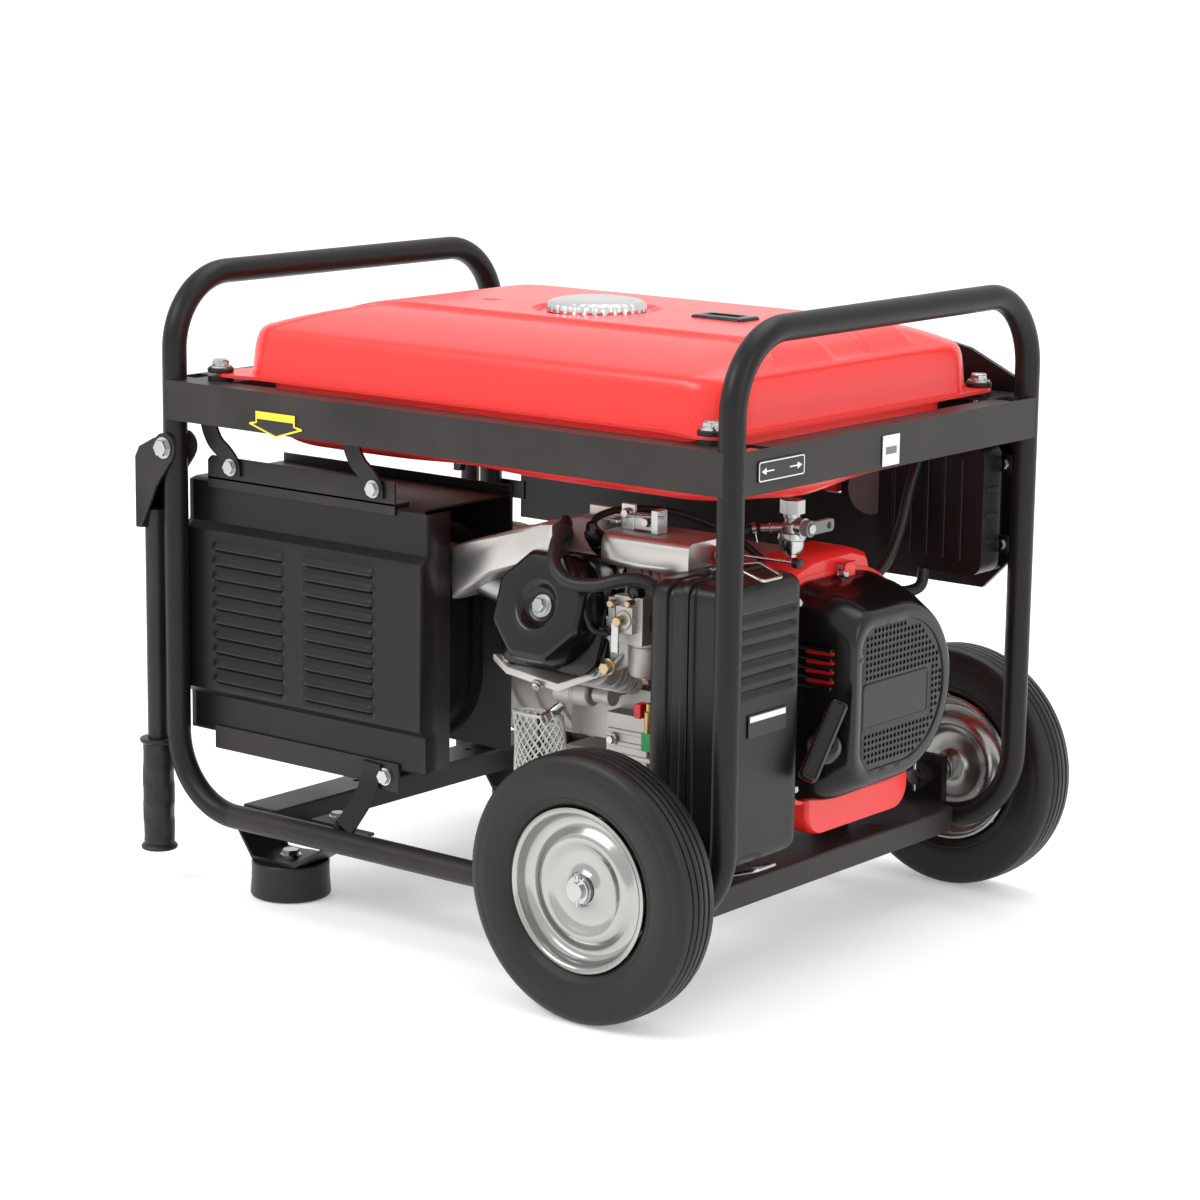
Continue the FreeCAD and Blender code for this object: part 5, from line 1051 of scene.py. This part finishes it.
def woven_sleeve():
    """Diamond mesh round a tapered flat sleeve."""
    def wall(turn, t):
        z = blend_value(112, 226, t)
        wide = blend_value(33, 30, t)
        wave = 1 + 0.035 * math.sin(9 * t + 3 * turn)
        return (blend_value(46, 38, t) + wide * wave * math.cos(turn), -135 + 12.5 * wave * math.sin(turn), z)
    bm = bmesh.new()

    def core(turn, t):
        x, y, z = wall(turn, t)
        middle = blend_value(46, 38, t)
        # A slim core, 94 percent of the way in from the mesh.
        return mm(x + (middle - x) * 0.94, y + (-135 - y) * 0.94, z)
    loft(bm, [[core(2 * math.pi * i / 40, k / 19) for i in range(40)] for k in range(20)])
    piece("sleeve_core", bm, M["rubber"], replaces=("heat_sleeve",))
    bm = bmesh.new()
    strands = 20
    for n in range(strands):
        for hand in (-1, 1):
            points = [wall(2 * math.pi * n / strands + hand * 3.1 * k / 36, k / 36) for k in range(37)]
            sweep(bm, points, 0.85, 6)
    for t in (0.0, 1.0):
        points = [wall(2 * math.pi * k / 40, t) for k in range(41)]
        sweep(bm, points, 1.5, 8)
    piece("sleeve_mesh", bm, M["glass_fibre"])


# ---------------------------------------------------------------- fan side
def d_outline(radius, flat_y, corner):
    """Outline with a round far side and a flat near side, as (y, z) points."""
    cy, cz = CRANK
    arc, straight = 40, 10
    out = [(cy + radius * math.cos(a), cz + radius * math.sin(a)) for a in
           [math.radians(-90 + 180 * k / arc) for k in range(arc + 1)]]
    top = cz + radius
    span = cy - (flat_y + corner)
    out += [(cy - span * k / straight, top) for k in range(1, straight)]
    out += [(flat_y + corner + corner * math.cos(a), top - corner + corner * math.sin(a)) for a in
            [math.radians(90 + 90 * k / 12) for k in range(13)]]
    height = 2 * (radius - corner)
    out += [(flat_y, top - corner - height * k / (2 * straight)) for k in range(1, 2 * straight)]
    out += [(flat_y + corner + corner * math.cos(a), cz - radius + corner + corner * math.sin(a)) for a in
            [math.radians(180 + 90 * k / 12) for k in range(13)]]
    out += [(flat_y + corner + span * k / straight, cz - radius) for k in range(1, straight)]
    return out


def fan_ring(x, grow, corner=30.0):
    return [mm(x, y, z) for y, z in d_outline(108 + grow, -48 - grow / 2, corner)]


def inside_d(y, z, radius, flat_y, corner):
    cy, cz = CRANK
    if y >= cy:
        return math.hypot(y - cy, z - cz) < radius
    if abs(z - cz) > radius or y < flat_y:
        return False
    dy, dz = flat_y + corner - y, abs(z - cz) - (radius - corner)
    return not (dy > 0 and dz > 0 and math.hypot(dy, dz) > corner)


def fan_side():
    """Glossy fan cover with its grille, blank badge and slots, over the red blower housing."""
    steps = [(276, 0.5), (279, 1.2), (282, 0.8), (285, -0.8), (292, -1.8), (303, -4), (312, -7), (320, -10.8),
             (327, -14.6), (333, -18), (338, -20.8), (341.5, -23), (343.8, -25.6), (344.8, -28.4), (345, -31)]
    bm = bmesh.new()
    rings = [fan_ring(x, g) for x, g in steps]
    face = (70.5, -21.5, 17)
    for x, inset in ((345, 0), (344.2, 0.8), (341.6, 1.2)):
        rings.append([mm(x, y, z) for y, z in d_outline(face[0] - inset, face[1] + inset, face[2])])
    loft(bm, rings, False, False)
    obj = piece("fan_shell", bm, M["gloss"], replaces=("fan_cover",), sharp=45)
    thicken(obj, 2.4)

    bm = bmesh.new()
    pitch, hole, deep, plane = 6.4, 1.95, 2.0, 343.4
    badge = (-24, 96, 233, 283)
    y = -26.0
    while y < 126:
        z = 190.0
        while z < 342:
            corners = [(y + a * pitch / 2, z + b * pitch / 2) for a, b in ((-1, -1), (1, -1), (1, 1), (-1, 1))]
            covered = badge[0] < y < badge[1] and badge[2] < z < badge[3]
            if not any(inside_d(a, b, 74, -25, 20) for a, b in corners):
                z += pitch
                continue
            if covered or not all(inside_d(a, b, 69.5, -20.5, 17) for a, b in corners):
                bm.faces.new([bm.verts.new(mm(plane, a, b)) for a, b in corners])
            else:
                outer = [(y + a * pitch / 2, z + b * pitch / 2) for a, b in
                         ((-1, -1), (0, -1), (1, -1), (1, 0), (1, 1), (0, 1), (-1, 1), (-1, 0))]
                turn = [math.radians(225 + 45 * k) for k in range(8)]
                lip = [(y + hole * 1.25 * math.cos(a), z + hole * 1.25 * math.sin(a)) for a in turn]
                core = [(y + hole * math.cos(a), z + hole * math.sin(a)) for a in turn]
                loft(bm, [[mm(plane, a, b) for a, b in outer], [mm(plane + 0.25, a, b) for a, b in lip],
                          [mm(plane - 0.5, a, b) for a, b in core], [mm(plane - deep, a, b) for a, b in core]],
                     False, False)
            z += pitch
        y += pitch
    bmesh.ops.remove_doubles(bm, verts=bm.verts, dist=0.00002)
    piece("fan_grille", bm, M["gloss"], sharp=30)

    bm = bmesh.new()
    plate = rounded((badge[0] + 3, badge[1] - 2), (badge[2] + 2, badge[3] - 2), 6, 4, 8)
    rings = [[mm(x, y, z) for y, z in plate] for x in (341, 344.2)]
    for inset, x in ((1.0, 345.2), (3.0, 345.2), (3.8, 344.4)):
        rings.append([mm(x, y, z) for y, z in rounded((badge[0] + 3 + inset, badge[1] - 2 - inset),
                                                      (badge[2] + 2 + inset, badge[3] - 2 - inset),
                                                      6 - inset, 4, 8)])
    loft(bm, rings)
    piece("fan_badge", bm, M["gloss"], sharp=30)

    bm = bmesh.new()
    for k in range(4):
        z = 284.5 + 9.2 * k
        rings = []
        for x, grow in ((296, 0), (297, 1.4), (299, 2.2), (322, 2.2), (324, 1.4), (325, 0)):
            fall = -50.6 + (x - 276) * 0.16
            rings.append([mm(x, fall + 1.6, z - grow), mm(x, fall - 1.1, z - grow * 0.8),
                          mm(x, fall - 1.1, z + grow * 0.8), mm(x, fall + 1.6, z + grow)])
        loft(bm, rings)
    piece("side_slots", bm, M["red_plastic"], sharp=30)
    bm = bmesh.new()
    for k in range(5):
        z = 280 + 9.2 * k
        block(bm, (290, 328), (-52.2, -46.5), (z - 1.9, z + 1.9))
    piece("side_slot_bars", bm, M["gloss"], bevel=1.4, segments=4)
    bm = bmesh.new()
    for k in range(3):
        x = 287 + 13 * k
        block(bm, (x, x + 4), (-10, 44), (157.0 + 5.2 * k, 160.4 + 5.2 * k))
    piece("bottom_slots", bm, M["red_plastic"], bevel=1.4)

    bm = bmesh.new()
    rings = [fan_ring(x, g, 32) for x, g in ((220, 1), (221.5, 3), (224, 4), (270, 4), (272, 5.5), (275.4, 5.5),
                                             (276, 4))]
    loft(bm, rings)
    foot = [(y, z) for y, z in rounded((-16, 162), (117, 182), 24, 6, 10)]
    rings = [[mm(x, 73 + (y - 73) * s, 150 + (z - 150) * s) for y, z in foot]
             for x, s in ((221, 0.97), (223, 1), (273, 1), (277, 0.99), (280, 0.96))]
    loft(bm, rings)
    shoulder = [(-58, 300), (-52, 372), (-40, 386), (-10, 394), (60, 396), (88, 388), (110, 340), (60, 300)]
    rings = [[mm(x, 20 + (y - 20) * s, 340 + (z - 340) * s) for y, z in shoulder]
             for x, s in ((220, 0.94), (224, 1), (262, 1), (270, 0.97), (275, 0.9))]
    loft(bm, rings)
    piece("blower_shell", bm, M["red"], replaces=("blower_housing",), sharp=50, bevel=1.5)
    bm = bmesh.new()
    block(bm, (262, 288), (28, 46), (383, 386))
    block(bm, (284, 287), (28, 46), (368, 386))
    piece("blower_tab", bm, M["red"], bevel=1.2)

    bm = bmesh.new()
    for y, z in ((30, 372.5), (-46, 356), (132, 342), (146, 206), (-44, 176)):
        place = Vector((0, y - 50, z - 265)).normalized()
        hex_head(bm, (281, y, z), (1, place.y * 0.5, place.z * 0.5), 8, 7, 6.2)
    piece("fan_bolts", bm, M["zinc"])
    bm = bmesh.new()
    lathe(bm, (336, -66, 231), (0.65, -0.65, 0.4), [(-16, 17), (-6, 15), (-2, 12.5), (0, 11), (0, 6), (-6, 4)], 32)
    piece("rope_eyelet", bm, M["gloss"])


def grip():
    """Starter grip with a raised rim and its rope."""
    pull = Vector((0.65, -0.65, 0.4)).normalized()
    along = Vector((-0.04, 0.64, 0.77))
    along = (along - pull * along.dot(pull)).normalized()
    across = pull.cross(along)
    base = Vector((340, -82, 236)) + pull

    def ring(depth, inset, corner):
        return [mm(*(base + along * a + across * b + pull * depth)) for a, b in
                rounded((-41 + inset, 41 - inset), (-9 + inset, 9 - inset), corner, 4, 6)]
    bm = bmesh.new()
    loft(bm, [ring(0, 2.4, 3), ring(1.2, 0.8, 4), ring(3, 0, 4.5), ring(13, 0, 4.5), ring(15.6, 0.5, 4.5),
              ring(16.8, 1.6, 4), ring(17, 2.8, 3), ring(15.6, 3.6, 2.6)])
    piece("starter_grip", bm, M["gloss"], "recoil", ("recoil_grip",), sharp=35)
    bm = bmesh.new()
    start, end = base + pull * 2, base - pull * 90
    for strand in range(3):
        path = []
        for k in range(121):
            t = k / 120
            p = start.lerp(end, t)
            a = 2 * math.pi * (strand / 3 + t * 9)
            path.append(tuple(p + along * 1.15 * math.cos(a) + across * 1.15 * math.sin(a)))
        sweep(bm, path, 1.3, 8)
    piece("starter_rope", bm, M["white_film"], "recoil")


# ---------------------------------------------------------------- air filter
FILTER_Y, FILTER_Z = (-225, -100), (134, 402)


def filter_box():
    """Filter cover with six pressed grooves, its back half and the clip lugs."""
    y0, y1 = FILTER_Y
    z0, z1 = FILTER_Z
    cy = (y0 + y1) / 2

    side = [(290.4, 2), (290.6, -1.6), (291.4, -2.4), (295, -2.4), (296, -1.8), (296.8, 0.2), (304, 0.3), (312, 0.6)]
    side += [(318 + 12 * math.sin(a), 0.6 + 12 * (1 - math.cos(a))) for a in
             [math.pi / 2 * k / 8 for k in range(9)]]
    levels = [z0 + d for d in (0, 0.5, 1.6, 3.4, 6, 9.5, 14)] + [z0 + 14 + 138 * k / 24 for k in range(1, 25)]
    levels += [288 + 1.5 * k for k in range(63)] + [z1 - d for d in (14, 9.5, 6, 3.4, 1.6, 0.5, 0)]

    def groove(y, z):
        out = 0.0
        for k in range(6):
            out -= 3.0 * math.exp(-((z - 299 - 14.4 * k) / 2.6) ** 2)
        return out * (1 - smoothstep(50, 57, abs(y - cy)))
    bm = bmesh.new()
    rings = []
    for z in levels:
        reach = min(z - z0, z1 - z, 14)
        shrink = 14 - math.sqrt(14 ** 2 - (14 - reach) ** 2)
        near = [(x - max(x - 304, 0) / 26 * shrink * 0.9, y0 + i + shrink) for x, i in side]
        far = [(x, y0 + y1 - y) for x, y in reversed(near)]
        face_y0, face_y1 = near[-1][1], far[0][1]
        face = []
        for k in range(1, 30):
            y = blend_value(face_y0, face_y1, k / 30)
            face.append((near[-1][0] + groove(y, z), y))
        rings.append([mm(x, y, z) for x, y in near + face + far])
    loft(bm, rings)
    piece("filter_cover", bm, M["plastic"], replaces=("air_filter_cover",), sharp=42)
    bm = bmesh.new()
    rings = [[mm(x, y, z) for y, z in rounded((y0 + i, y1 - i), (z0 + i, z1 - i), 16, 8, 10)] for x, i in (
        (240, 16), (240.6, 9), (242.4, 5), (245, 2.6), (249, 1.2), (256, 0.6), (262, 0.4), (263, 1.6), (264, 3.4),
        (268, 3.6), (269.4, 1.6), (270.4, 0.2), (280, 0), (281.2, -1.2), (282, -2.8), (287.6, -3), (289.6, -2.4),
        (290, 1))]
    loft(bm, rings)
    lathe(bm, (201, -150, 345), (1, 0, 0), [(0, 16), (0, 20.6), (3, 21.4), (6, 20.6), (41, 20.6)], 48)
    for y in (-206, -120):
        block(bm, (232, 246), (y - 10, y + 10), (196, 204))
    piece("filter_case", bm, M["plastic"], replaces=("air_filter_case",), sharp=50, bevel=0.6)
    bm = bmesh.new()
    for low in (z0 - 7.4, z1 + 1.4):
        for y in (-188, -146.5):
            block(bm, (273, 283), (y - 4, y + 4), (low, low + 6))
    piece("clip_lugs", bm, M["plastic"], bevel=1.2)


def choke():
    """Red choke blade on its pull rod."""
    bm = bmesh.new()
    blade = [(236, 404), (241, 416), (252, 421), (272, 421.5), (276, 418), (276, 411), (270, 407), (246, 402)]
    solid_outline(bm, blade, facing_y, -137.5, -134)
    piece("choke_blade", bm, M["red_plastic"], "choke", ("choke_lever",), bevel=0.8)
    bm = bmesh.new()
    sweep(bm, [(266, -137, 416), (345, -134.5, 416)], 1.6, 16)
    hex_head(bm, (256, -137.4, 412), (0, -1, 0), 6, 3, 4)
    piece("choke_rod", bm, M["zinc"], "choke")
    bm = bmesh.new()
    lathe(bm, (340, -134.6, 416), (1, 0, 0), [(0, 3.4), (1, 5), (7, 5.2), (9, 3.4)], 24)
    piece("choke_knob", bm, M["gloss"], "choke")


# ---------------------------------------------------------------- fuel tap and panel side
def fuel_tap():
    """Sediment bowl, spout and screws on the fuel valve."""
    bm = bmesh.new()
    hex_head(bm, (268, -36, 441), (0, 0, 1), 21, 14)
    lathe(bm, (268, -36, 441), (0, 0, -1), [(0, 8.4), (4, 8.4), (5, 7), (9, 7), (10, 10.6), (18, 10.6), (19, 12.6),
                                           (23, 13.6), (25, 13.6), (26, 12.2), (34, 11.6), (38, 10), (39, 6.4),
                                           (40, 5), (42.4, 5)], 48)
    lathe(bm, (262, -38, 427), (-0.72, -0.5, -0.05), [(0, 4.4), (12, 4.2), (13, 5), (15, 5), (16, 3.8), (24, 3.8)], 24)
    lathe(bm, (272, -36, 428), (1, 0, 0), [(0, 8.4), (5.5, 8.4), (6, 9.4), (11, 9.4), (11.3, 8.6)], 36)
    piece("fuel_tap_body", bm, M["zinc"], replaces=("fuel_valve_body",), sharp=35)
    bm = bmesh.new()
    lathe(bm, (290.3, -36, 428), (1, 0, 0), [(0, 5), (2, 5), (2.4, 4.4)], 24)
    piece("fuel_tap_screw", bm, M["zinc"], "valve_lever")


PANEL_Y = 268
METER = (110, 518)


def panel_side():
    """Ribbed box behind the panel, and the panel's meter, screws, frames and knobs."""
    bm = bmesh.new()
    for k in range(5):
        block(bm, (222 + 20 * k, 226 + 20 * k), (203.6, 206.4), (366, 470))
    for k in range(3):
        block(bm, (329.4, 331.2), (212, 234), (386 + 26 * k, 390 + 26 * k))
    piece("box_ribs", bm, M["plastic"], bevel=1.1)
    bm = bmesh.new()
    for x, z in ((-280, 340), (-306, 380), (-306, 550), (-280, 578), (-60, 340), (-60, 578), (140, 578), (140, 340),
                 (319, 372), (319, 540)):
        lathe(bm, (x, PANEL_Y, z), (0, 1, 0), [(0, 5.4), (2.2, 5.2), (3.2, 3.6), (3.2, 1)], 28)
    for x in (245, 175):
        for dx in (-22, 22):
            lathe(bm, (x + dx, PANEL_Y, 398), (0, 1, 0), [(0, 3.4), (2, 3.2), (2.8, 1)], 20)
    piece("panel_screws", bm, M["zinc"])
    bm = bmesh.new()
    for k in range(9):
        z = 400 + 14 * k
        rings = [[mm(-250 + 130 * t, 267.9 + rise * math.sin(math.pi * t) ** 0.4, z + dz) for dz, rise in
                  ((-3.4, 0), (-2.6, 2.6), (-0.6, 3.4), (2.2, 1.2), (3.4, 0), (0, -0.6))]
                 for t in [i / 16 for i in range(17)]]
        loft(bm, rings)
    piece("panel_louvres", bm, M["plastic"])
    bm = bmesh.new()
    lathe(bm, (-60, PANEL_Y, 400), (0, 1, 0), [(0, 8), (1.6, 8), (1.6, 4), (14, 4), (15, 3)], 28)
    hex_head(bm, (-60, 270, 400), (0, 1, 0), 12, 5)
    piece("earth_terminal", bm, M["zinc"])
    for name, x, key, slot in (("plus", -40, "red_plastic", "red_plastic"), ("minus", -10, "gloss", "gloss_plastic")):
        bm = bmesh.new()
        lathe(bm, (x, PANEL_Y, 440), (0, 1, 0), [(0, 9), (2, 9), (2, 6), (4, 6), (4, 8.4), (13, 8.4), (14, 7.4),
                                                 (14, 3)],
              32, wave=lambda a, o, r: 1 + (0.04 * math.cos(12 * a) if o > 4 else 0))
        piece("terminal_" + name, bm, M[key])
    bm = bmesh.new()
    block(bm, (87, 133), (271.2, 271.6), (513, 542))
    piece("meter_card", bm, M["white_film"], bevel=0.2)
    bm = bmesh.new()
    for k in range(11):
        a = math.radians(140 - 10 * k)
        p = [(METER[0] + r * math.cos(a), 271.8, METER[1] + r * math.sin(a)) for r in (17, 20 if k % 5 else 22)]
        sweep(bm, p, 0.35, 6)
    needle = (METER[0] + 15 * math.cos(2.0), 272.2, METER[1] + 15 * math.sin(2.0))
    sweep(bm, [(METER[0], 272.2, METER[1]), needle], 0.45, 6)
    lathe(bm, (METER[0], 271.6, METER[1]), (0, 1, 0), [(0, 3), (1, 3), (1.4, 2)], 20)
    piece("meter_scale", bm, M["black_film"])
    bm = bmesh.new()
    for x0, x1, z0, z1 in ((150, 270, 390, 454), (92, 128, 398, 442), (24, 56, 394, 446), (72, 148, 494, 554)):
        outer = rounded((x0, x1), (z0, z1), 8, 3, 6)
        inner = rounded((x0 + 2.4, x1 - 2.4), (z0 + 2.4, z1 - 2.4), 6, 3, 6)
        closed_loft(bm, [[mm(x, y, z) for x, z in ring] for ring, y in
                         ((outer, 267.6), (outer, 268.8), (inner, 268.8), (inner, 267.6))])
    piece("panel_frames", bm, M["grey_plastic"])
    bm = bmesh.new()
    sweep(bm, smooth_path([(258, 200, 470), (256, 186, 440), (254, 170, 392), (250, 150, 360), (240, 128, 344)], 8),
          5.5, 20)
    sweep(bm, smooth_path([(262, 206, 352), (262, 198, 334), (250, 168, 330), (232, 140, 330)], 8), 6, 20)
    piece("loom", bm, M["rubber"])


# ---------------------------------------------------------------- plates without lettering
def plates():
    """Blank plates, a plain arrow and bars of colour."""
    face = -(POST_Y + TUBE_R + 1.05)
    bm = bmesh.new()
    arrow = [(-223, 514), (-170, 514), (-170, 503.4), (-161, 502), (-160, 500.2), (-195.5, 489.6), (-232, 500.2),
             (-231, 502), (-223, 503.4)]
    solid_outline(bm, arrow, facing_y, face + 0.2, face - 0.35)
    piece("arrow_plate", bm, M["yellow"])
    bm = bmesh.new()
    inner = [(-221, 506.4), (-172, 506.4), (-172, 502.4), (-165.5, 500.6), (-195.5, 491.6), (-226.5, 500.6),
             (-221, 502.4)]
    solid_outline(bm, inner, facing_y, face, face - 0.6)
    piece("arrow_field", bm, M["black_film"])

    side = POST_X + TUBE_R + 1.05
    bm = bmesh.new()
    solid_outline(bm, rounded((-226, -154), (503, 523), 3, 2, 5), facing_x, side - 0.2, side + 0.3)
    piece("side_plate", bm, M["black_film"])
    bm = bmesh.new()
    outer = rounded((-225, -155), (504, 522), 2.6, 2, 5)
    inner = rounded((-224, -156), (505, 521), 2.0, 2, 5)
    closed_loft(bm, [[mm(x, a, b) for a, b in ring] for ring, x in
                     ((outer, side), (outer, side + 0.5), (inner, side + 0.5), (inner, side))])
    for sign in (-1, 1):
        shaft = [(-190 + sign * 12, 513.6), (-190 + sign * 24, 513.6), (-190 + sign * 24, 516.2),
                 (-190 + sign * 31, 513), (-190 + sign * 24, 509.8), (-190 + sign * 24, 512.4),
                 (-190 + sign * 12, 512.4)]
        solid_outline(bm, shaft, facing_x, side + 0.2, side + 0.55)
    piece("side_plate_arrows", bm, M["white_film"])
    bm = bmesh.new()
    block(bm, (side - 0.2, side + 0.3), (-28, 0), (495, 524))
    piece("square_plate", bm, M["white_film"])
    bm = bmesh.new()
    block(bm, (side + 0.2, side + 0.5), (-23, -5), (506, 513))
    piece("square_plate_marks", bm, M["grey_plastic"])
    bm = bmesh.new()
    block(bm, (330.6, 331.7), (-188, -128), (257, 279))
    piece("filter_plate", bm, M["black_film"], bevel=0.3)
    bm = bmesh.new()
    block(bm, (331.2, 332.0), (-186, -130), (272, 277.4))
    piece("filter_plate_band", bm, M["white_film"])


make_camera()
make_studio()
dress_cad_nodes()
frame_tubes()
weld_beads()
rubber_feet()
wheels()
axle_details()
handle_grips()
tank()
tank_fittings()
muffler_shield()
muffler_mounts()
muffler_drum()
exhaust()
rocker()
head_casting()
carburettor_details()
flexible_lines()
woven_sleeve()
fan_side()
grip()
filter_box()
choke()
fuel_tap()
panel_side()
plates()
